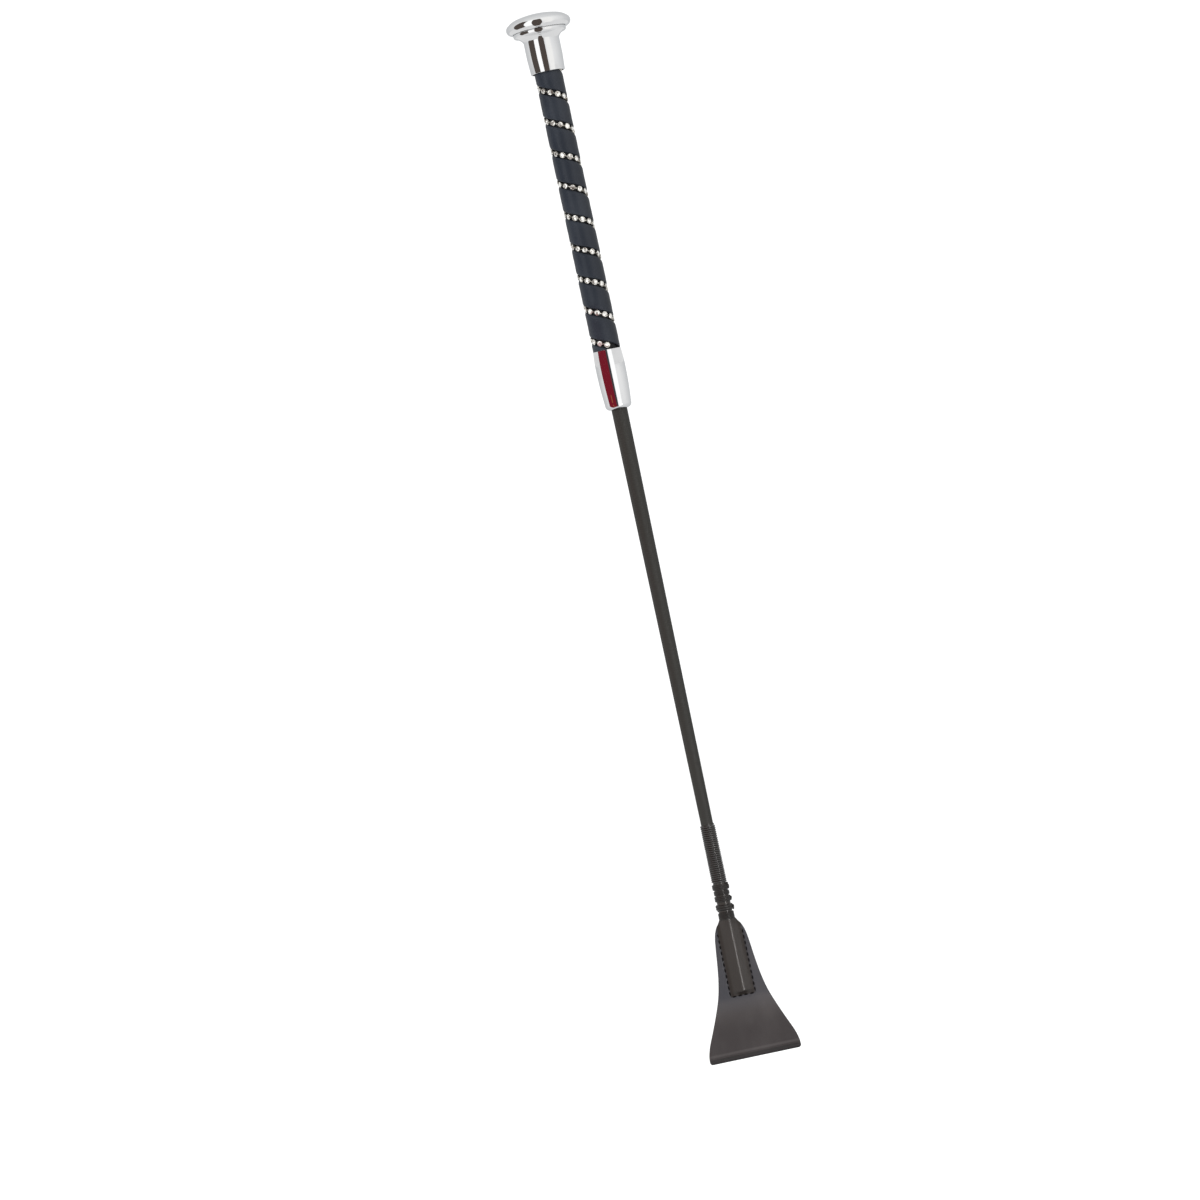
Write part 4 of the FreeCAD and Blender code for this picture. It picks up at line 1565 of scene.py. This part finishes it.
@dataclass
class Popper:
    """The leather popper: two stitched layers over the rod, folded at the hem.

    The sides are places (depth below the neck, half width). The columns are the places across,
    closer together where the rod's ridge and the stitches are.
    """

    levels: Levels
    half_thickness: float = 1.39
    rod_round: float = 4.24
    tent_half: float = 7.4
    seam_offset: float = 7.75
    seam_depth: float = 46.7
    hem_depth: float = 81.6
    hem_round: float = 1.55
    edge_round: float = 0.55
    corner_depth: float = 83.0
    neck_radii: Point = (3.0, 4.2)
    tent_end: float = 43.6
    dent_depth: float = 0.26
    hem_step: float = 0.16
    hem_groove: float = 0.22
    bend_length: float = 17.0
    columns: tuple[float, ...] = (
        0.0, 0.45, 0.9, 1.35, 1.8, 2.4, 3.1, 3.9, 4.7, 5.5, 6.2, 6.8, 7.2, 7.5, 7.75, 8.0, 8.35, 8.8)
    sides: tuple[Point, ...] = (
        (-1.5, 4.6), (0.0, 5.3), (1.5, 6.2), (3.0, 7.35), (5.0, 8.35), (7.0, 9.1), (11.0, 10.0),
        (15.6, 10.6), (25.6, 11.7), (35.6, 13.1), (45.6, 15.3), (55.6, 18.8), (65.6, 22.9),
        (75.6, 27.0), (80.6, 28.2), (83.0, 28.33), (86.0, 28.4))

    def build(self, finishes: Finishes) -> None:
        """Makes the skin and the neck that the bindings hold.

        Args:
            finishes: The crop's finishes.
        """
        levels = self.levels
        inner, outer = self.neck_radii
        top, foot = levels.whip_end - 0.1, levels.popper_top - 2.0
        neck = turned("popper_neck", [(inner, top), (outer, top), (outer, foot), (inner, foot)], 64)
        dress(neck, finishes.popper)
        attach(neck, Part.SHAFT.value)
        report(neck)
        skin = self.skin()
        dress(skin, finishes.popper)
        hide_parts("popper_front", "popper_back", "popper_blade")
        start = levels.popper_top - self.seam_depth - 0.5
        start * MM
        (start - self.bend_length) * MM
        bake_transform(skin)
        report(skin)

    def half_width(self, depth: float) -> float:
        """The popper's half width at a depth below the neck, in mm.

        Args:
            depth: How far below the neck.

        Returns:
            The half width.
        """
        depths = [place for place, _ in self.sides]
        halves = [half for _, half in self.sides]
        spot = min(max(depth, depths[0]), depths[-1] - 1e-6)
        index = max(0, int(np.searchsorted(depths, spot, side="right")) - 1)
        slopes = np.gradient(halves, depths)
        run = depths[index + 1] - depths[index]
        share = (spot - depths[index]) / run
        square, cube = share ** 2, share ** 3
        rise = (2 * cube - 3 * square + 1) * halves[index] + (3 * square - 2 * cube) * halves[index + 1]
        lean = (cube - 2 * square + share) * slopes[index] + (cube - square) * slopes[index + 1]
        corner = min(1.0, max(0.0, (depth - self.corner_depth) / 2.05))
        return float(rise + lean * run) - 2.0 * (1 - math.sqrt(1 - min(corner, 0.985) ** 2))

    def standing(self, across: float, depth: float, half: float) -> float:
        """How far the face stands from the popper's middle plane, in mm.

        Args:
            across: The place across the popper.
            depth: How far below the neck.
            half: The popper's half width there.

        Returns:
            The face's distance from the middle plane.
        """
        plate = self.half_thickness
        foot = min(self.tent_half, half - 0.5)
        slope_start = math.atan2(foot, plate) - math.acos(self.rod_round / math.hypot(foot, plate))
        edge = self.rod_round * math.sin(slope_start)
        size = abs(across)
        if size <= edge:
            tent = math.sqrt(self.rod_round ** 2 - size ** 2)
        elif size < foot:
            top = self.rod_round * math.cos(slope_start)
            share = (size - edge) / (foot - edge)
            tent = top + (plate - top) * share - 0.12 * math.sin(math.pi * share) * share
        else:
            tent = plate
        fade = 1 - smooth_step(depth, self.tent_end, self.seam_depth - 0.2)
        height = plate + (max(tent, plate) - plate) * fade
        row_dent = math.exp(-(((size - self.seam_offset) / 0.42) ** 2))
        row_dent *= smooth_step(depth, 6.5, 8.0) * (1 - smooth_step(depth, 46.6, 47.4))
        cross_dent = math.exp(-(((depth - self.seam_depth) / 0.45) ** 2))
        cross_dent *= 1 - smooth_step(size, self.seam_offset - 0.2, self.seam_offset + 0.5)
        height -= self.dent_depth * max(row_dent, cross_dent)
        step = smooth_step(depth, self.hem_depth - 0.5, self.hem_depth + 0.3)
        groove = math.exp(-(((depth - self.hem_depth) / 0.35) ** 2))
        height += self.hem_step * step - self.hem_groove * groove
        wave = 0.05 * math.sin(0.21 * across + 0.13 * depth) + 0.035 * math.sin(0.37 * depth - across * 0.4)
        return height + wave * smooth_step(depth, 48.0, 56.0)

    def skin(self) -> bpy.types.Object:
        """The whole folded skin as one closed mesh, with the groove between its layers.

        Returns:
            The skin.
        """
        foot = self.levels.popper_top - self.levels.foot
        hem = foot - self.hem_round
        depths = np.concatenate([
            np.linspace(-0.8, 8.0, 12), np.linspace(9.0, 43.0, 36), np.linspace(43.5, 48.5, 22),
            np.linspace(49.2, 68.0, 30), np.linspace(69.0, 80.6, 12),
            np.linspace(81.0, 82.4, 9), np.linspace(82.8, hem, 5),
            foot - self.hem_round * (1 - np.sin(np.linspace(0.1, math.pi / 2, 12)))])
        rows = np.array([self.loop(float(depth), foot) for depth in depths])
        return mesh_piece("popper_skin", rows.reshape(-1, 3), ring_grid(rows), None, 48.0)

    def loop(self, depth: float, foot: float) -> list[Spot]:
        """One level section through the skin.

        Args:
            depth: How far below the neck.
            foot: The hem's depth.

        Returns:
            The section's points, once round.
        """
        half = self.half_width(depth)
        edge = self.edge_round
        fit = min(1.0, (half - edge - 0.2) / (self.columns[-1] + 0.4))
        columns = [place * fit for place in self.columns]
        columns += list(np.linspace(columns[-1], half - edge, 10)[1:])
        height = self.levels.popper_top - depth
        squeeze = 1.0
        if depth > foot - self.hem_round:
            share = (depth - foot + self.hem_round) / self.hem_round
            squeeze = math.sqrt(max(0.0, 1 - share ** 2))
        right = [(place, -self.standing(place, depth, half)) for place in columns]
        last = right[-1][1]
        for number in range(1, 6):
            angle = math.pi / 2 * number / 5
            right.append((half - edge + edge * math.sin(angle), last + edge * (1 - math.cos(angle))))
        mouth = 0.34 if depth < foot - 3.2 else 0.12
        right += [(half, -0.22), (half - mouth, -0.03)]
        front = [(-x, y) for x, y in reversed(right[1:])] + right
        back = [(-x, -y) for x, y in front]
        return [(x, y * squeeze, height) for x, y in front + back]


def smooth_step(value: float, low: float, high: float) -> float:
    """A soft step from 0 at the low value to 1 at the high one.

    Args:
        value: Where to look.
        low: Where the step starts.
        high: Where the step ends.

    Returns:
        The step there.
    """
    share = min(1.0, max(0.0, (value - low) / (high - low)))
    return share * share * (3 - 2 * share)


@dataclass
class PocketStitches:
    """Two rows of stitches beside the rod and one across its end, on both faces."""

    levels: Levels
    offset: float = 7.75
    start: float = 8.5
    spacing: float = 3.6
    length: float = 2.25
    thread_radius: float = 0.46
    seam_depth: float = 46.7
    face: float = 1.22

    def build(self, finishes: Finishes) -> None:
        """Makes every stitch as one piece.

        Args:
            finishes: The crop's finishes.
        """
        rows = int((self.seam_depth - self.start) / self.spacing) + 1
        places = [(side * self.offset, self.start + number * self.spacing, 0.0)
                  for side in (-1, 1) for number in range(rows)]
        across = int(2 * self.offset / self.spacing)
        places += [((number - (across - 1) / 2) * self.spacing, self.seam_depth, math.pi / 2)
                   for number in range(across)]
        spots, lies = [], []
        for side in (-1, 1):
            for x, depth, tilt in places:
                spots.append((x * MM, side * self.face * MM, (self.levels.popper_top - depth) * MM))
                lies.append((0.0, tilt, 0.0))
        seeds = bpy.data.meshes.new("stitch_seeds")
        seeds.from_pydata(spots, [], [])
        lie = seeds.attributes.new("lie", "FLOAT_VECTOR", "POINT")
        lie.data.foreach_set("vector", np.array(lies, np.float32).ravel())
        template = self.stitch()
        piece = seam_tree().run("pocket_stitches", {
            "Template": template, "Unevenness": 0.09, "Seed": 3, "Finish": finishes.stitch}, seeds, 60.0)
        bpy.data.objects.remove(template)
        dress(piece, finishes.stitch)
        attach(piece, Part.SHAFT.value)
        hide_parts("popper_stitches")
        report(piece)

    def stitch(self) -> bpy.types.Object:
        """One stitch: a short length of thread that narrows at both ends.

        Returns:
            The stitch, which runs along Z.
        """
        rows = []
        for share in (0.0, 0.08, 0.22, 0.5, 0.78, 0.92, 1.0):
            fat = self.thread_radius * max(0.12, math.sin(math.pi * min(max(share, 0.02), 0.98))) ** 0.35
            up = self.length * (share - 0.5)
            rows.append([(fat * math.cos(math.pi * side / 4), fat * math.sin(math.pi * side / 4), up)
                         for side in range(8)])
        grid = np.array(rows)
        return mesh_piece("stitch_template", grid.reshape(-1, 3), ring_grid(grid), None, 60.0)


# ------------------------------------------------------------------ hidden pieces

@dataclass
class InnerPieces:
    """The pieces inside the handle and at the rod's end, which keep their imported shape."""

    wooden: tuple[str, ...] = ("cap_plug",)
    moulded: tuple[str, ...] = ("handle_core", "ferrule_bush", "rod_tip_cap")

    def build(self, finishes: Finishes) -> None:
        """Gives each one its material.

        Args:
            finishes: The crop's finishes.
        """
        for names, material in ((self.wooden, finishes.wood), (self.moulded, finishes.plastic)):
            for name in names:
                node = FRAME["nodes"][name]
                node.data.materials.clear()
                node.data.materials.append(material)
                report(node)


# ------------------------------------------------------------------ studio

@dataclass(frozen=True)
class Card:
    """A studio card that only reflections see, on a round about the crop's axis.

    Bearings are in degrees to the right of straight ahead of the crop, heights in metres.
    """

    name: str
    left: float
    right: float
    low: float
    high: float
    distance: float
    colour: Colour
    strength: float = 1.0
    soft_edge: float = 0.0


@dataclass(frozen=True)
class Lamp:
    """A soft square light: where it stands, its side in metres and its power in watts."""

    name: str
    place: Spot
    size: float
    power: float


@dataclass
class Studio:
    """The pale floor, the soft lights, the reflector cards and the camera."""

    levels: Levels
    lean: float = 11.94
    reach: float = 3.0
    frame_width: float = 0.7316
    middle: Point = (-0.0356, -0.2347)
    sensor: float = 36.0
    floor_drop: float = 0.10
    floor_half: float = 9.0
    shelf_tone: Colour = (0.80, 0.80, 0.80)
    wedge_tone: Colour = (0.085, 0.068, 0.060)
    shelf_level: float = -0.0585
    shelf_reach: Point = (0.011, 0.6)
    wedge_reach: Point = (0.055, 0.245)
    wedge_bearings: Point = (-22.0, 13.0)
    lamps: tuple[Lamp, ...] = (
        Lamp("key_light", (-1.1, -1.4, 0.6), 0.9, 40.0),
        Lamp("fill_light", (1.3, -1.1, 0.2), 1.1, 5.0),
    )
    cards: tuple[Card, ...] = (
        Card("card_dark_left", -93.0, -49.0, -0.057, 0.55, 0.24, (0.085, 0.070, 0.062)),
        Card("card_white_stripe", -49.0, -21.0, -0.057, 0.55, 0.24, (1.0, 1.0, 1.0), 1.2),
        Card("card_dark_front", -21.0, 15.0, -0.057, 0.55, 0.24, (0.085, 0.068, 0.060)),
        Card("card_bright_right", 15.0, 62.0, -0.057, 0.55, 0.24, (1.0, 0.99, 0.97), 1.02, 0.3),
        Card("card_ferrule_red", -80.0, -14.0, -0.35, -0.0595, 0.12, (0.195, 0.013, 0.024)),
        Card("card_ferrule_dark", -14.0, 0.0, -0.35, -0.0595, 0.12, (0.055, 0.050, 0.055)),
        Card("card_ferrule_white", 0.5, 36.0, -0.35, -0.0595, 0.12, (1.0, 1.0, 1.0), 1.2, 0.12),
        Card("card_ferrule_amber", -50.0, -38.0, -0.30, -0.124, 0.115, (0.36, 0.12, 0.05), 1.0, 0.45),
        Card("card_popper_strip", 29.0, 36.0, -0.85, -0.42, 0.9, (1.0, 0.98, 0.97), 22.0, 0.3),
    )

    def build(self) -> None:
        """Sets up everything round the crop."""
        self.floor()
        self.world()
        for card in self.cards:
            self.card(card)
        self.shelf()
        for lamp in self.lamps:
            self.lamp(lamp)
        self.camera()

    def floor(self) -> None:
        """A wide pale floor under the hanging crop."""
        level = self.levels.foot * MM - self.floor_drop
        half = self.floor_half
        corners = [(x * half, y * half, level) for x, y in ((-1, -1), (1, -1), (1, 1), (-1, 1))]
        mesh = bpy.data.meshes.new("studio_floor")
        mesh.from_pydata(corners, [], [(0, 1, 2, 3)])
        floor = bpy.data.objects.new("studio_floor", mesh)
        bpy.context.scene.collection.objects.link(floor)
        shader = Shader("pale_floor")
        shade = shader.noise(6.0, 2.0)
        floor.data.materials.append(shader.done(
            Base_Color=shader.tint((0.93, 0.93, 0.93), (0.96, 0.96, 0.96), shade),
            Roughness=0.9, Specular_IOR_Level=0.1))
        floor.visible_glossy = False

    def world(self) -> None:
        """White surroundings, a little greyer in mirrors than to the eye."""
        world = bpy.data.worlds.new("soft_studio")
        bpy.context.scene.world = world
        world.use_nodes = True
        maker = NodeMaker(world.node_tree)
        maker.tree.nodes.clear()
        paths = maker.node("ShaderNodeLightPath")
        heading = maker.node("ShaderNodeTexCoord").outputs["Generated"]
        split = maker.node("ShaderNodeSeparateXYZ", None, {0: heading})
        behind = maker.node("ShaderNodeMapRange", None, {0: split.outputs[1], 1: -0.5, 2: 0.9})
        climb = maker.node("ShaderNodeMapRange", None, {0: split.outputs[2], 1: -0.9, 2: 0.8})
        front = maker.node("ShaderNodeMix", {"data_type": "RGBA"}, {
            0: climb.outputs[0], 6: (0.78, 0.78, 0.79), 7: (1.02, 1.02, 1.01)})
        sky = maker.node("ShaderNodeMix", {"data_type": "RGBA"}, {
            0: behind.outputs[0], 6: front.outputs[2], 7: (0.60, 0.61, 0.62)})
        seen = maker.node("ShaderNodeMix", {"data_type": "RGBA"}, {
            0: paths.outputs["Is Glossy Ray"], 6: (1.15, 1.15, 1.15), 7: sky.outputs[2]})
        light = maker.node("ShaderNodeBackground", None, {"Color": seen.outputs[2], "Strength": 1.0})
        maker.node("ShaderNodeOutputWorld", None, {"Surface": light.outputs[0]})
        bpy.context.scene.view_settings.view_transform = "Standard"

    def card(self, card: Card) -> None:
        """Hangs one reflector card.

        Args:
            card: Its place and colour.
        """
        columns = 17
        bearings = np.radians(np.linspace(card.left, card.right, columns))
        rows = np.array([[(card.distance * math.sin(b), -card.distance * math.cos(b), height)
                          for b in bearings] for height in (card.low, card.high)])
        faces = ring_grid(rows, closed=False)
        shares = [(corner % columns / (columns - 1), corner // columns)
                  for face in faces for corner in face]
        material = self.glow(card.name, card.colour, card.strength, card.soft_edge)
        sheet = self.hang(card.name, rows, faces, material)
        layer = sheet.data.uv_layers.new(name="UVMap")
        layer.data.foreach_set("uv", np.array(shares, float).ravel())

    @staticmethod
    def glow(name: str, colour: Colour, strength: float, soft_edge: float = 0.0) -> bpy.types.Material:
        """A shining material, which may fade out at its left and right edges.

        Args:
            name: Its name.
            colour: Its colour.
            strength: How brightly it shines.
            soft_edge: The share of the width over which it fades at each edge.

        Returns:
            The material.
        """
        maker = Shader(name)
        surface = maker.node("ShaderNodeEmission", None, {"Color": colour, "Strength": strength})
        if soft_edge:
            across, _ = maker.winding()
            shown = across.between(0.0, soft_edge) * (1 - across.between(1 - soft_edge, 1.0))
            clear = maker.node("ShaderNodeBsdfTransparent")
            surface = maker.node("ShaderNodeMixShader", None, {
                0: shown, 1: clear.outputs[0], 2: surface.outputs[0]})
        maker.node("ShaderNodeOutputMaterial", None, {"Surface": surface.outputs[0]})
        return maker.material

    @staticmethod
    def hang(name: str, rows: np.ndarray, faces: list, material: bpy.types.Material) -> bpy.types.Object:
        """Hangs a sheet that only reflections see.

        Args:
            name: Its name.
            rows: Its corners in metres, row by row.
            faces: Its faces.
            material: Its material.

        Returns:
            The sheet.
        """
        mesh = bpy.data.meshes.new(name)
        mesh.from_pydata(rows.reshape(-1, 3).tolist(), [], faces)
        mesh.materials.append(material)
        sheet = bpy.data.objects.new(name, mesh)
        bpy.context.scene.collection.objects.link(sheet)
        for ray in ("camera", "diffuse", "transmission", "volume_scatter", "shadow"):
            setattr(sheet, f"visible_{ray}", False)
        return sheet

    def shelf(self) -> None:
        """A flat glossy-only ring that keeps the lower cards out of the knob's reflections."""
        rows = np.array([[(radius * math.cos(a), radius * math.sin(a), self.shelf_level)
                          for a in np.linspace(0, 2 * math.pi, 49)[:-1]]
                         for radius in self.shelf_reach])
        self.hang("card_shelf", rows, ring_grid(rows), self.glow("card_shelf", self.shelf_tone, 1.0))
        wedge = np.array([[(radius * math.sin(b), -radius * math.cos(b), self.shelf_level + 0.001)
                           for b in np.radians(np.linspace(*self.wedge_bearings, 7))]
                          for radius in self.wedge_reach])
        self.hang("card_wedge", wedge, ring_grid(wedge, closed=False),
                  self.glow("card_wedge", self.wedge_tone, 1.0))

    def lamp(self, lamp: Lamp) -> None:
        """Hangs a light that faces the crop's middle.

        Args:
            lamp: Its place, size and power.
        """
        data = bpy.data.lights.new(lamp.name, "AREA")
        data.shape = "SQUARE"
        data.size = lamp.size
        data.energy = lamp.power
        light = bpy.data.objects.new(lamp.name, data)
        light.location = lamp.place
        aim = Vector((0.0, 0.0, self.middle[1])) - Vector(lamp.place)
        light.rotation_mode = "QUATERNION"
        light.rotation_quaternion = aim.to_track_quat("-Z", "Y")
        light.visible_glossy = False
        light.visible_camera = False
        bpy.context.scene.collection.objects.link(light)

    def camera(self) -> None:
        """A long lens square to the crop, rolled by the crop's lean."""
        data = bpy.data.cameras.new("view")
        data.sensor_width = self.sensor
        data.lens = self.sensor * self.reach / self.frame_width
        data.clip_start, data.clip_end = 0.05, 60.0
        camera = bpy.data.objects.new("view", data)
        angle = math.radians(self.lean)
        right = Vector((math.cos(angle), 0.0, -math.sin(angle)))
        up = Vector((math.sin(angle), 0.0, math.cos(angle)))
        back = Vector((0.0, -1.0, 0.0))
        place = Vector((self.middle[0], -self.reach, self.middle[1]))
        turn = Matrix((right, up, back)).transposed().to_4x4()
        camera.matrix_world = Matrix.Translation(place) @ turn
        bpy.context.scene.collection.objects.link(camera)
        bpy.context.scene.camera = camera


def main() -> None:
    """Builds the studio and every sub-assembly, in order."""
    logging.basicConfig(level=logging.INFO, format="%(name)s %(message)s")
    levels = Levels.of_frame()
    Studio(levels).build()
    finishes = Finishes()
    Knob(levels).build(finishes)
    Ferrule(levels).build(finishes)
    Grip(levels).build(finishes)
    StoneChain(levels).build(finishes)
    Shaft(levels).build(finishes)
    coils = coil_tree()
    Whipping(levels).build(finishes, coils)
    Bindings(levels).build(finishes, coils)
    Popper(levels).build(finishes)
    PocketStitches(levels).build(finishes)
    InnerPieces().build(finishes)


if __name__ == "__main__":
    main()
